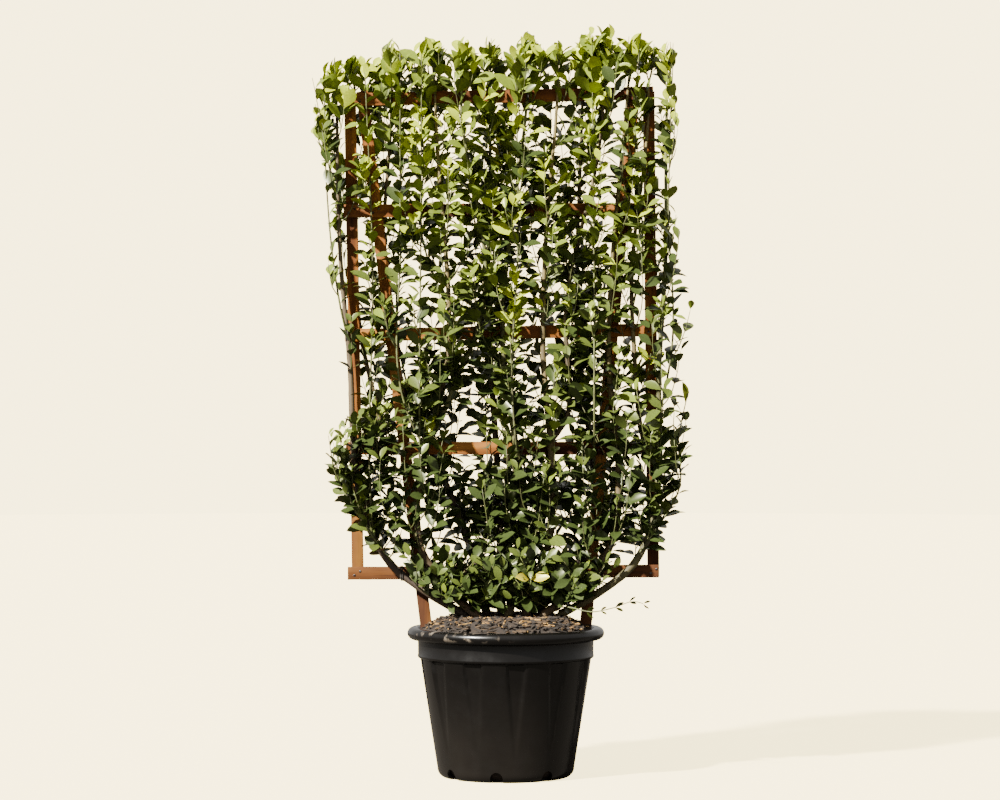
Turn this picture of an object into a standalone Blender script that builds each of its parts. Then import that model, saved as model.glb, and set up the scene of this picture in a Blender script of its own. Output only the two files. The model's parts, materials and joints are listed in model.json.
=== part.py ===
"""A potted Japanese spindle trained flat on a wooden trellis.

Metres, +Z up. The origin is the middle of the pot's flat underside. The slats face -Y.
"""

import math
import random
from typing import NamedTuple

import bmesh
import bpy
from mathutils import Vector
from mathutils.bvhtree import BVHTree

# Clearance kept between neighbours
GAP = 0.0003

# Pot: a tapered nursery pot with a rolled rim, a collar, tapering flutes and foot notches
POT_HEIGHT = 0.288
RIM_RADIUS = 0.1905
RIM_DEPTH = 0.0226
RIM_INNER_RADIUS = 0.1695
COLLAR_RADIUS = 0.170
COLLAR_FOOT = 0.230
BODY_TOP_RADIUS = 0.1655
BODY_FOOT_RADIUS = 0.1325
FOOT_RADIUS = 0.1185
FOOT_ROUND = 0.018
WALL = 0.003
FLUTES = 12
FLUTE_TURN = math.radians(7)
FLUTE_HALF_ANGLE = math.radians(7.5)
FLUTE_FOOT_HALF_ANGLE = math.radians(1.5)
FLUTE_DEPTH = 0.0055
FLUTE_FOOT = 0.048
NOTCHES = 8
NOTCH_TURN = math.radians(-8)
NOTCH_WIDTH = 0.024
NOTCH_HEIGHT = 0.021

# Mulch: flat round the stems, falling to the wall
SOIL_TOP = 0.308
SOIL_FLAT_RADIUS = 0.110
SOIL_EDGE = 0.2815
SOIL_SIDES = 30
SOIL_FIT = 0.0010

# Trellis: five slats nailed over two uprights and two raking legs
SLAT_LENGTH = 0.602
SLAT_HEIGHT = 0.0248
SLAT_THICKNESS = 0.010
BAR_WIDTH = 0.0225
BAR_THICKNESS = 0.015
TRELLIS_TOP = 1.325
LEG_FOOT = 0.245


class Slat(NamedTuple):
    """A slat's middle and its tilt, in radians."""

    x: float
    z: float
    tilt: float


class Bar(NamedTuple):
    """An upright or a leg: where its middle line crosses the bottom slat, and its lean to +X."""

    x: float
    lean: float
    foot: float


SLATS = (
    Slat(-0.0155, 1.3144, 0.0225),
    Slat(-0.0130, 1.0946, 0.0060),
    Slat(-0.0105, 0.8575, 0.0176),
    Slat(-0.0085, 0.6337, 0.0000),
    Slat(-0.0050, 0.3937, 0.0075),
)
TOP_SLAT, MIDDLE_SLAT, BOTTOM_SLAT = SLATS[0].z, SLATS[2].z, SLATS[4].z
UPRIGHT_FOOT = BOTTOM_SLAT - SLAT_HEIGHT / 2 + 0.003
BARS = {
    "upright_left": Bar(-0.287, -0.0163, UPRIGHT_FOOT),
    "upright_right": Bar(0.286, -0.0095, UPRIGHT_FOOT),
    "leg_left": Bar(-0.1670, -0.1195, LEG_FOOT),
    "leg_right": Bar(0.1645, 0.0907, LEG_FOOT),
}
BAR_FRONT = SLAT_THICKNESS / 2 + GAP

# Stems: where each stands on the mulch and where it crosses the bottom, middle and top slats
STEM_TOP = 1.336
STEM_FOOT_RADIUS = 0.0078
STEM_TIP_RADIUS = 0.0025
BOUGH_FOOT_RADIUS = 0.0052
ROOT_FLARE = 1.35
STEM_SIDES = 6
STEM_RINGS = 13
SLAT_CLEARANCE = 0.002
STEM_WAVE = 0.003


class Stem(NamedTuple):
    """A limb that stands on the mulch. reach is the height of its topmost leaf."""

    foot: tuple
    low: float
    middle: float
    high: float
    reach: float
    front: bool


class Bough(NamedTuple):
    """A limb that forks from a stem. elbow is how far it swings aside before it climbs."""

    parent: str
    fork: float
    elbow: float
    middle: float
    high: float
    reach: float
    front: bool


STEMS = {
    "stem_1": Stem((-0.070, -0.012), -0.205, -0.309, -0.327, 1.390, True),
    "stem_2": Stem((-0.036, 0.010), -0.055, -0.228, -0.222, 1.433, False),
    "stem_3": Stem((-0.052, -0.036), -0.139, -0.112, -0.137, 1.428, True),
    "stem_4": Stem((-0.008, 0.024), -0.010, -0.030, -0.031, 1.439, False),
    "stem_5": Stem((0.004, -0.022), 0.024, -0.004, 0.042, 1.443, True),
    "stem_6": Stem((0.036, -0.010), 0.070, 0.070, 0.100, 1.426, True),
    "stem_7": Stem((0.050, 0.027), 0.134, 0.138, 0.149, 1.441, False),
    "stem_8": Stem((0.066, -0.026), 0.172, 0.196, 0.235, 1.433, True),
    "stem_9": Stem((0.098, -0.004), 0.232, 0.298, 0.312, 1.420, True),
}
BOUGHS = {
    "bough_1": Bough("stem_1", 0.520, 0.024, -0.284, -0.294, 1.404, False),
    "bough_2": Bough("stem_3", 0.668, 0.022, -0.054, -0.086, 1.435, True),
    "bough_3": Bough("stem_6", 0.645, 0.024, 0.116, 0.188, 1.456, True),
    "bough_4": Bough("stem_9", 0.600, -0.022, 0.244, 0.275, 1.424, True),
}

# Crown: how far the leaves reach, and the spaces that the side shoots keep to
CROWN_LEFT, CROWN_RIGHT = -0.381, 0.368
CROWN_DEPTH = 0.088
BANDS = {
    "low": (0.330, 0.600),
    "second": (0.602, 0.845),
    "third": (0.847, 1.082),
    "high": (1.084, 1.328),
}
FRONT_COLUMNS = {
    "left": (CROWN_LEFT, -0.126),
    "middle": (-0.124, 0.119),
    "right": (0.121, CROWN_RIGHT),
}
BACK_COLUMNS = {
    "left": (CROWN_LEFT, -0.163),
    "middle": (-0.161, 0.087),
    "right": (0.089, CROWN_RIGHT),
}
LOW_BAND_LEFT = -0.350
BARE_SPACE = ("back", "low", "middle")
TOP_FLOOR = 1.330
TOP_DEPTH = 0.070

# Leaves
LEAF_LENGTH = 0.060
LEAF_BROADEST = 0.56
LEAF_THICKNESS = 0.0012
LEAF_FOLD = 0.16
LEAF_DROOP = 0.10
LEAF_VARIES = 0.22
LEAF_ROLL = 0.35
LEAF_SMALLEST = 0.86
TIP_LEAN = 0.6
SIDE_LEAVES = 15
TOP_LEAVES = 9

# Corners of a leaf: 0 and 1 at the root, 2 and 3 at the sides, 4 and 5 at the tip
LEAF_FACES = (
    (0, 2, 4),
    (0, 4, 3),
    (1, 5, 2),
    (1, 3, 5),
    (0, 1, 2),
    (0, 3, 1),
    (4, 2, 5),
    (4, 5, 3),
)

# Shoots and twigs
TWIG_SIDES = 3
SHOOT_RADIUS = 0.0027
SHOOT_GAP = 0.0005
SHOOT_SWING = 0.014
TWIG_RADIUS = 0.0020
TWIG_TIP = 0.75
TWIG_CLIMB = (0.25, 0.70)
TWIG_DEPTH = 0.020
TWIGS_PER_SHOOT = 5
ROOT_LIFTS = (0.030, 0.045, 0.060, 0.080, 0.100)
TOUCH = 0.0016
SEED = 1


def clear_scene():
    for old in list(bpy.data.objects):
        bpy.data.objects.remove(old)


def make_material(name, colour, roughness):
    material = bpy.data.materials.new(name)
    material.use_nodes = True
    shader = material.node_tree.nodes["Principled BSDF"]
    shader.inputs["Base Color"].default_value = (*colour, 1)
    shader.inputs["Roughness"].default_value = roughness
    return material


def add_object(name, bm, material):
    """Makes a closed bmesh an object, with its faces pointing out."""
    bmesh.ops.recalc_face_normals(bm, faces=bm.faces)
    if bm.calc_volume(signed=True) < 0:
        bmesh.ops.reverse_faces(bm, faces=bm.faces)
    mesh = bpy.data.meshes.new(name)
    bm.to_mesh(mesh)
    bm.free()
    mesh.materials.append(material)
    made = bpy.data.objects.new(name, mesh)
    bpy.context.scene.collection.objects.link(made)
    return made


def apply_boolean(target, operation, cutter=None, collection=None):
    """Cuts or joins target for good, and removes what it was cut or joined with."""
    modifier = target.modifiers.new(operation.lower(), "BOOLEAN")
    modifier.operation = operation
    modifier.solver = "EXACT"
    if collection:
        modifier.operand_type = "COLLECTION"
        modifier.collection = collection
        used = list(collection.objects)
    else:
        modifier.object = cutter
        used = [cutter]
    bpy.context.view_layer.update()
    graph = bpy.context.evaluated_depsgraph_get()
    mesh = bpy.data.meshes.new_from_object(target.evaluated_get(graph))
    target.modifiers.clear()
    target.data = mesh
    for old in used:
        bpy.data.objects.remove(old)


def stacked_rings(rings):
    """A closed skin through rings of points that all have the same count."""
    bm = bmesh.new()
    made = [[bm.verts.new(point) for point in ring] for ring in rings]
    for low, high in zip(made, made[1:]):
        for k in range(len(low)):
            after = (k + 1) % len(low)
            bm.faces.new((low[k], low[after], high[after], high[k]))
    bm.faces.new(reversed(made[0]))
    bm.faces.new(made[-1])
    return bm


def body_radius(z):
    """The pot's outer radius on a rib, between its rounded foot and its collar."""
    share = (z - FOOT_ROUND) / (COLLAR_FOOT - FOOT_ROUND)
    return BODY_FOOT_RADIUS + share * (BODY_TOP_RADIUS - BODY_FOOT_RADIUS)


def flute_share(z):
    """0 at the flutes' points and 1 under the collar."""
    return min(max((z - FLUTE_FOOT) / (COLLAR_FOOT - FLUTE_FOOT), 0), 1)


def pot_ring(z, radius, fluted):
    """A ring of four points to each flute: its two edges, its floor and the rib beside it."""
    share = flute_share(z)
    half = FLUTE_FOOT_HALF_ANGLE + share * (FLUTE_HALF_ANGLE - FLUTE_FOOT_HALF_ANGLE)
    depth = FLUTE_DEPTH * share if fluted else 0
    pitch = 2 * math.pi / FLUTES
    ring = []
    for flute in range(FLUTES):
        middle = FLUTE_TURN + flute * pitch
        for turn, pressed in ((-half, 0), (0, depth), (half, 0), (pitch / 2, 0)):
            angle = middle + turn - math.pi / 2
            reach = radius - pressed
            ring.append((reach * math.cos(angle), reach * math.sin(angle), z))
    return ring


def rim_points(steps=4):
    """(z, radius) over the rolled rim, from its underside to its inner edge."""
    middle = POT_HEIGHT - RIM_DEPTH / 2
    bulge = RIM_DEPTH / 2
    for step in range(steps + 1):
        angle = math.pi * (step / steps - 0.5)
        yield middle + bulge * math.sin(angle), RIM_RADIUS - bulge + bulge * math.cos(angle)


def make_pot(material):
    outer = [(0, FOOT_RADIUS, False)]
    for step in (1, 2):
        angle = math.pi / 2 * step / 2
        lift = FOOT_ROUND * (1 - math.cos(angle))
        swell = (BODY_FOOT_RADIUS - FOOT_RADIUS) * math.sin(angle)
        outer.append((lift, FOOT_RADIUS + swell, False))
    outer.append((FLUTE_FOOT, body_radius(FLUTE_FOOT), True))
    outer.append((COLLAR_FOOT - WALL / 2, body_radius(COLLAR_FOOT), True))
    outer.append((COLLAR_FOOT, COLLAR_RADIUS - WALL / 6, False))
    outer.append((POT_HEIGHT - RIM_DEPTH, COLLAR_RADIUS, False))
    outer += [(z, radius, False) for z, radius in rim_points()]
    outer.append((POT_HEIGHT - WALL, RIM_INNER_RADIUS, False))
    inner = [
        (COLLAR_FOOT + WALL / 2, COLLAR_RADIUS - WALL, False),
        (COLLAR_FOOT - WALL, body_radius(COLLAR_FOOT) - WALL, True),
        (FLUTE_FOOT, body_radius(FLUTE_FOOT) - WALL, True),
        (FOOT_ROUND, BODY_FOOT_RADIUS - WALL, False),
        (WALL, FOOT_RADIUS, False),
    ]
    pot = add_object("pot", stacked_rings([pot_ring(*row) for row in outer + inner]), material)
    apply_boolean(pot, "DIFFERENCE", cutter=notch_cutter())
    return pot


def notch_cutter():
    """The arched notches round the pot's foot, as one mesh of separate plugs."""
    radius = NOTCH_WIDTH / 2
    outline = [(-radius, -WALL), (radius, -WALL)]
    for step in range(5):
        angle = math.pi * step / 4
        outline.append((radius * math.cos(angle), NOTCH_HEIGHT - radius + radius * math.sin(angle)))
    bm = bmesh.new()
    for notch in range(NOTCHES):
        angle = NOTCH_TURN + notch * 2 * math.pi / NOTCHES - math.pi / 2
        out = Vector((math.cos(angle), math.sin(angle), 0))
        across = Vector((-math.sin(angle), math.cos(angle), 0))
        near = [out * (FOOT_RADIUS - WALL) + across * s + Vector((0, 0, z)) for s, z in outline]
        face = bm.faces.new([bm.verts.new(point) for point in near])
        pushed = bmesh.ops.extrude_face_region(bm, geom=[face])["geom"]
        verts = [v for v in pushed if isinstance(v, bmesh.types.BMVert)]
        bmesh.ops.translate(bm, verts=verts, vec=out * (RIM_RADIUS - FOOT_RADIUS))
    return add_object("notch_cutter", bm, None)


def make_soil(material, legs):
    """The root ball and mulch: it clears the flutes, and the legs stand in it."""
    fit = WALL + SOIL_FIT
    collar_inner = COLLAR_RADIUS - fit
    profile = (
        (WALL + GAP, FOOT_RADIUS - fit),
        (FOOT_ROUND, BODY_FOOT_RADIUS - fit),
        (FLUTE_FOOT, body_radius(FLUTE_FOOT) - fit),
        (COLLAR_FOOT - WALL, body_radius(COLLAR_FOOT) - fit - FLUTE_DEPTH),
        (COLLAR_FOOT + 2 * WALL, collar_inner),
        (SOIL_EDGE, collar_inner),
        ((SOIL_EDGE + SOIL_TOP) / 2 + 0.002, (collar_inner + SOIL_FLAT_RADIUS) / 2),
        (SOIL_TOP, SOIL_FLAT_RADIUS),
    )
    turns = [2 * math.pi * k / SOIL_SIDES for k in range(SOIL_SIDES)]
    rings = [[(r * math.cos(a), r * math.sin(a), z) for a in turns] for z, r in profile]
    soil = add_object("soil", stacked_rings(rings), material)
    for leg in legs:
        socket = make_bar("socket", BARS[leg], None, grow=GAP)
        apply_boolean(soil, "DIFFERENCE", cutter=socket)
    return soil


def box(name, middle, size, tilt, material):
    """A sawn length of wood, turned about Y by tilt."""
    bm = bmesh.new()
    bmesh.ops.create_cube(bm, size=1)
    bmesh.ops.scale(bm, verts=bm.verts, vec=size)
    cosine, sine = math.cos(tilt), math.sin(tilt)
    for vert in bm.verts:
        x, y, z = vert.co
        vert.co = (x * cosine - z * sine, y, x * sine + z * cosine)
    bmesh.ops.translate(bm, verts=bm.verts, vec=middle)
    return add_object(name, bm, material)


def bar_x(bar, z):
    """Where a bar's middle line is at a height."""
    return bar.x + math.tan(bar.lean) * (z - BOTTOM_SLAT)


def make_bar(name, bar, material, grow=0.0):
    """An upright or a leg, or with grow the hole that it stands in."""
    low, high = bar.foot - grow, TRELLIS_TOP + grow
    middle = (low + high) / 2
    length = (high - low) / math.cos(bar.lean)
    size = (BAR_WIDTH + 2 * grow, BAR_THICKNESS + 2 * grow, length)
    place = (bar_x(bar, middle), BAR_FRONT + BAR_THICKNESS / 2, middle)
    return box(name, place, size, -bar.lean, material)


def make_trellis(material):
    made = []
    for number, slat in enumerate(SLATS, 1):
        size = (SLAT_LENGTH, SLAT_THICKNESS, SLAT_HEIGHT)
        made.append(box(f"slat_{number}", (slat.x, 0, slat.z), size, slat.tilt, material))
    for name, bar in BARS.items():
        made.append(make_bar(name, bar, material))
    return made


def curve_through(points, count):
    """Evenly spaced points on a smooth curve through the given ones."""
    spans = [(b - a).length for a, b in zip(points, points[1:])]
    chords = [(b - a) / span for a, b, span in zip(points, points[1:], spans)]
    slopes = [chords[0]]
    for (before, after), (into, out) in zip(zip(spans, spans[1:]), zip(chords, chords[1:])):
        slopes.append((into * after + out * before) / (before + after))
    slopes.append(chords[-1])
    route = []
    for i in range(count):
        way = sum(spans) * i / (count - 1)
        n = 0
        while n < len(spans) - 1 and way > spans[n]:
            way -= spans[n]
            n += 1
        t = min(way / spans[n], 1)
        ease = t * t * (3 - 2 * t)
        place = points[n].lerp(points[n + 1], ease)
        bend = slopes[n] * (t * (1 - t) ** 2) - slopes[n + 1] * (t * t * (1 - t))
        route.append(place + bend * spans[n])
    return route


def tube_rings(route, radii, sides, level_start=False, level_end=False):
    """Rings square to a route, turned as little as possible from each to the next."""
    side = Vector((1, 0, 0))
    rings = []
    last = len(route) - 1
    for i, (centre, radius) in enumerate(zip(route, radii)):
        along = (route[min(i + 1, last)] - route[max(i - 1, 0)]).normalized()
        if (i == 0 and level_start) or (i == last and level_end):
            along = Vector((0, 0, 1))
        if abs(along.dot(side)) > 0.99:
            side = Vector((0, 1, 0))
        side = (side - along * side.dot(along)).normalized()
        across = along.cross(side)
        turns = [2 * math.pi * k / sides for k in range(sides)]
        rings.append([centre + radius * (math.cos(a) * side + math.sin(a) * across) for a in turns])
    return rings


def stand_off(front, radius):
    """How far a limb's middle stays from the slats' plane, before them or behind the bars."""
    if front:
        return -(SLAT_THICKNESS / 2 + SLAT_CLEARANCE + radius)
    return BAR_FRONT + BAR_THICKNESS + SLAT_CLEARANCE + radius


def limb_radius(z, foot_z, foot_radius):
    """An even taper from a limb's foot to the height where all limbs end."""
    share = (z - foot_z) / (STEM_TOP - foot_z)
    return foot_radius + share * (STEM_TIP_RADIUS - foot_radius)


def stem_route(name, stem):
    """A stem rises from its foot, swings out to the trellis and climbs it with a slight wave."""
    heights = (BOTTOM_SLAT, MIDDLE_SLAT, TOP_SLAT, STEM_TOP)
    top_x = stem.high + (stem.high - stem.middle) * (STEM_TOP - TOP_SLAT) / (TOP_SLAT - MIDDLE_SLAT)
    points = [Vector((stem.foot[0], stem.foot[1], SOIL_TOP + GAP))]
    for z, x in zip(heights, (stem.low, stem.middle, stem.high, top_x)):
        radius = limb_radius(z, SOIL_TOP, STEM_FOOT_RADIUS)
        points.append(Vector((x, stand_off(stem.front, radius), z)))
    route = curve_through(points, STEM_RINGS)
    for point in route:
        lane = stand_off(stem.front, limb_radius(point.z, SOIL_TOP, STEM_FOOT_RADIUS))
        share = smooth_step(point.z, SOIL_TOP, BOTTOM_SLAT - SLAT_HEIGHT)
        point.y = stem.foot[1] + share * (lane - stem.foot[1])
    return waved(name, route)


def smooth_step(value, low, high):
    share = min(max((value - low) / (high - low), 0), 1)
    return share * share * (3 - 2 * share)


def bough_route(name, bough, parent_route):
    """A bough leaves its stem at an elbow and climbs beside it."""
    fork = point_at(parent_route, bough.fork)
    swing = abs(bough.elbow)
    radius = limb_radius(bough.fork + swing, bough.fork, BOUGH_FOOT_RADIUS)
    lane = stand_off(bough.front, radius)
    elbow = Vector((fork.x + bough.elbow, (fork.y + lane) / 2, fork.z + swing))
    clear = Vector((fork.x + 1.4 * bough.elbow, lane, fork.z + 2.6 * swing))
    points = [fork, elbow, clear]
    heights = (MIDDLE_SLAT, TOP_SLAT, STEM_TOP)
    for z, x in zip(heights, (bough.middle, bough.high, bough.high)):
        radius = limb_radius(z, bough.fork, BOUGH_FOOT_RADIUS)
        points.append(Vector((x, stand_off(bough.front, radius), z)))
    route = curve_through(points, STEM_RINGS)
    for point in route:
        lane = stand_off(bough.front, limb_radius(point.z, bough.fork, BOUGH_FOOT_RADIUS))
        share = smooth_step(point.z, fork.z, fork.z + 3 * swing)
        point.y = fork.y + share * (lane - fork.y)
    return waved(name, route)


def waved(name, route):
    """A slight sideways wave, none at the two ends."""
    phase = random.Random(name).uniform(0, 2 * math.pi)
    last = len(route) - 1
    for i, point in enumerate(route):
        fade = math.sin(math.pi * i / last)
        point.x += STEM_WAVE * fade * math.sin(phase + 9 * i / last)
    return route


def point_at(route, z):
    """Where a rising route passes a height."""
    for low, high in zip(route, route[1:]):
        if low.z <= z <= high.z:
            return low.lerp(high, (z - low.z) / (high.z - low.z))
    return route[-1].copy()


def stem_radii(route):
    radii = [limb_radius(point.z, SOIL_TOP, STEM_FOOT_RADIUS) for point in route]
    radii[0] *= ROOT_FLARE
    return radii


def object_tree(made):
    """A search tree of an object's own mesh."""
    mesh = made.data
    return BVHTree.FromPolygons([v.co for v in mesh.vertices], [p.vertices for p in mesh.polygons])


class Limb(NamedTuple):
    """A limb's middle line, the height and radius that its taper starts from, and its built surface."""

    route: list
    foot_z: float
    foot_radius: float
    surface: BVHTree


def make_limbs(material):
    """All stems and boughs, by name."""
    limbs = {}
    for name, stem in STEMS.items():
        route = stem_route(name, stem)
        rings = tube_rings(route, stem_radii(route), STEM_SIDES, level_start=True, level_end=True)
        made = add_object(name, stacked_rings(rings), material)
        limbs[name] = Limb(route, SOIL_TOP, STEM_FOOT_RADIUS, object_tree(made))
    for name, bough in BOUGHS.items():
        parent_route = limbs[bough.parent].route
        route = bough_route(name, bough, parent_route)
        radii = [limb_radius(max(p.z, bough.fork), bough.fork, BOUGH_FOOT_RADIUS) for p in route]
        rings = tube_rings(route, radii, STEM_SIDES, level_end=True)
        made = add_object(name, stacked_rings(rings), material)
        swollen = [radius + GAP for radius in stem_radii(parent_route)]
        rings = tube_rings(parent_route, swollen, STEM_SIDES, level_start=True, level_end=True)
        apply_boolean(made, "DIFFERENCE", cutter=add_object("seat", stacked_rings(rings), None))
        limbs[name] = Limb(route, bough.fork, BOUGH_FOOT_RADIUS, object_tree(made))
    return limbs


def skin(rings):
    """Points and faces of the closed skin through a list of rings."""
    count = len(rings[0])
    points = [point for ring in rings for point in ring]
    faces = [tuple(range(count)), tuple(range(len(points) - count, len(points)))]
    for level in range(len(rings) - 1):
        for k in range(count):
            a = level * count + k
            b = level * count + (k + 1) % count
            faces.append((a, b, b + count, a + count))
    return points, faces


def limb_tree(limb):
    """A search tree of a limb, a little thicker than it is."""
    radii = []
    for point in limb.route:
        thin = limb_radius(max(point.z, limb.foot_z), limb.foot_z, limb.foot_radius)
        radii.append(thin + TOUCH / 2)
    return BVHTree.FromPolygons(*skin(tube_rings(limb.route, radii, STEM_SIDES)))


def leaf_points(root, along, normal, length, width, thickness):
    """The six corners of a folded kite: two at the root, two at its sides, two at the tip."""
    across = along.cross(normal)
    half = normal * thickness / 2
    broad = root + along * length * LEAF_BROADEST + normal * width * LEAF_FOLD
    tip = root + along * length - normal * length * LEAF_DROOP
    side = across * width / 2
    return [root + half, root - half, broad + side, broad - side, tip + half / 2, tip - half / 2]


class Space(NamedTuple):
    """The box that a mass keeps to."""

    low: Vector
    high: Vector

    def holds(self, points):
        return all(self.low[i] <= p[i] <= self.high[i] for p in points for i in range(3))


class Leaf(NamedTuple):
    """The size of a mass's leaves, their spacing up a twig and how far they lean from it."""

    length: float
    width: float
    internode: float
    angle: float


SIDE_LEAF = Leaf(LEAF_LENGTH, 0.032, 0.036, math.radians(54))
TOP_LEAF = Leaf(0.044, 0.021, 0.021, math.radians(36))


class Growth:
    """One mass: its pieces so far, and what the next piece has to stay clear of."""

    def __init__(self, space, obstacles, leaf, rng):
        self.space = space
        self.obstacles = obstacles
        self.leaf = leaf
        self.rng = rng
        self.pieces = []
        self.taken = []

    def free(self, points, faces):
        """True if a shape touches nothing."""
        tree = BVHTree.FromPolygons(points, faces)
        return not any(tree.overlap(other) for other in self.obstacles + self.taken)

    def twig_is_free(self, route, foot_radius):
        """True if a twig, less its first length, stays in the space and touches nothing."""
        clear = [route[0].lerp(route[1], 0.35)] + route[1:]
        swollen = [radius + TOUCH for radius in twig_radii(route, foot_radius)]
        points, faces = skin(tube_rings(clear, swollen, TWIG_SIDES))
        return self.space.holds(points) and self.free(points, faces)

    def add_twig(self, route, foot_radius):
        rings = tube_rings(route, twig_radii(route, foot_radius), TWIG_SIDES)
        self.pieces.append(stacked_rings(rings))
        self.taken.append(BVHTree.FromPolygons(*skin(rings)))

    def add_leaf(self, root, along, normal, size, lean):
        """Adds a leaf where it fits, with its root inside the twig, and says whether it did."""
        length, width = self.leaf.length * size, self.leaf.width * size
        real = leaf_points(root, along, normal, length, width, LEAF_THICKNESS)
        skipped = (SHOOT_RADIUS + 2 * TOUCH) / math.sin(lean)
        start = root + along * skipped
        wide = width + 2 * TOUCH
        swollen = leaf_points(start, along, normal, length - skipped + TOUCH, wide, 2 * TOUCH)
        if not self.space.holds(real) or not self.free(swollen, LEAF_FACES):
            return False
        bm = bmesh.new()
        verts = [bm.verts.new(point) for point in real]
        for face in LEAF_FACES:
            bm.faces.new([verts[i] for i in face])
        self.pieces.append(bm)
        self.taken.append(BVHTree.FromPolygons(real, LEAF_FACES))
        return True

    def turn_leaf(self, site, lean):
        """Turns a leaf out from its twig, with its upper face towards the twig's tip."""
        root, heading, side = site
        lean += self.rng.uniform(-LEAF_VARIES, LEAF_VARIES)
        along = heading * math.cos(lean) + side * math.sin(lean)
        roll = side.cross(heading) * self.rng.uniform(-LEAF_ROLL, LEAF_ROLL)
        normal = heading + roll
        normal = (normal - along * normal.dot(along)).normalized()
        size = self.rng.uniform(LEAF_SMALLEST, 1)
        return self.add_leaf(root - along * GAP, along, normal, size, lean)

    def dress(self, twigs, most):
        """Leaves on every twig: the tips first, so that the reach is full, then evenly."""
        first, rest = [], []
        for route in twigs:
            sites = leaf_sites(route, self.leaf.internode, self.rng.uniform(0, math.pi))
            first += [(site, self.leaf.angle * TIP_LEAN) for site in sites[:2]]
            rest += [(site, self.leaf.angle) for site in sites[2:]]
        self.rng.shuffle(rest)
        count = 0
        for site, lean in first + rest:
            if count < most and self.turn_leaf(site, lean):
                count += 1


def twig_radii(route, foot_radius):
    last = len(route) - 1
    return [foot_radius * (1 - (1 - TWIG_TIP) * i / last) for i in range(last + 1)]


def leaf_sites(route, spacing, turn):
    """Pairs of opposite leaves down a twig from its tip, each pair a quarter turn from the last.

    Gives (root, the twig's heading, the leaf's side).
    """
    lengths = [(b - a).length for a, b in zip(route, route[1:])]
    sites = []
    for n in range(max(int(sum(lengths) / spacing), 1)):
        way = sum(lengths) - n * spacing - TWIG_RADIUS
        step = 0
        while way > lengths[step] and step < len(lengths) - 1:
            way -= lengths[step]
            step += 1
        heading = (route[step + 1] - route[step]).normalized()
        root = route[step] + heading * way
        level = (Vector((0, 1, 0)) - heading * heading.y).normalized()
        angle = turn + n * math.pi / 2
        side = math.cos(angle) * heading.cross(level) + math.sin(angle) * level
        sites += [(root, heading, side), (root, heading, -side)]
    return sites


def shoot_route(space, root, outward, rng):
    """A shoot leaves a limb square on, turns up and climbs through the middle of its space."""
    lane = outward.y * CROWN_DEPTH / 2
    out = Vector((root.x, lane, root.z + SHOOT_SWING / 2))
    rise = Vector((root.x, lane, root.z + SHOOT_SWING * 2))
    middle = (space.low.x + space.high.x) / 2
    top = Vector((middle, lane, space.high.z - LEAF_LENGTH / 2))
    half_way = rise.lerp(top, 0.5) + Vector((rng.uniform(-1, 1) * SHOOT_SWING, 0, 0))
    square_on = root + outward * SHOOT_SWING / 2
    return [root, square_on] + curve_through([out, rise, half_way, top], 5)


def side_twigs(growth, route, outward):
    """Twigs to both sides of a shoot in turn, each reaching for the edge of the space."""
    rng = growth.rng
    trunk = route[3:]
    side = rng.choice((-1, 1))
    made = []
    for n in range(TWIGS_PER_SHOOT):
        share = (n + 0.35) / TWIGS_PER_SHOOT
        foot = point_at(trunk, trunk[0].z + share * (trunk[-1].z - trunk[0].z))
        edge = growth.space.low.x if side < 0 else growth.space.high.x
        reach = max(abs(edge - foot.x) - 0.75 * LEAF_LENGTH, LEAF_LENGTH / 3)
        reach *= rng.uniform(0.75, 1.0)
        climb = reach * (rng.uniform(*TWIG_CLIMB) if n else -0.3)
        depth = outward.y * rng.uniform(-1, 1) * TWIG_DEPTH
        knee = foot + Vector((side * reach * 0.55, depth * 0.6, climb * 0.35))
        tip = foot + Vector((side * reach, depth, climb))
        if growth.twig_is_free([foot, knee, tip], TWIG_RADIUS):
            growth.add_twig([foot, knee, tip], TWIG_RADIUS)
            made.append([foot, knee, tip])
        side = -side
    return made


def keep_main_shell(made):
    """Leaves only the largest of a mesh's separate shells."""
    bm = bmesh.new()
    bm.from_mesh(made.data)
    unseen = set(bm.verts)
    shells = []
    while unseen:
        shell, edge_of = set(), [unseen.pop()]
        while edge_of:
            vert = edge_of.pop()
            shell.add(vert)
            for edge in vert.link_edges:
                other = edge.other_vert(vert)
                if other in unseen:
                    unseen.discard(other)
                    edge_of.append(other)
        shells.append(shell)
    main_shell = max(shells, key=len)
    spare = [vert for shell in shells if shell is not main_shell for vert in shell]
    bmesh.ops.delete(bm, geom=spare, context="VERTS")
    bm.to_mesh(made.data)
    bm.free()


def fuse(name, growth, material):
    """Joins a mass's pieces into one closed solid, and drops any scrap or sealed hollow."""
    mass = add_object(name, growth.pieces[0], material)
    pieces = bpy.data.collections.new(name + "_pieces")
    bpy.context.scene.collection.children.link(pieces)
    for bm in growth.pieces[1:]:
        piece = add_object("piece", bm, material)
        bpy.context.scene.collection.objects.unlink(piece)
        pieces.objects.link(piece)
    apply_boolean(mass, "UNION", collection=pieces)
    bpy.data.collections.remove(pieces)
    keep_main_shell(mass)


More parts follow.
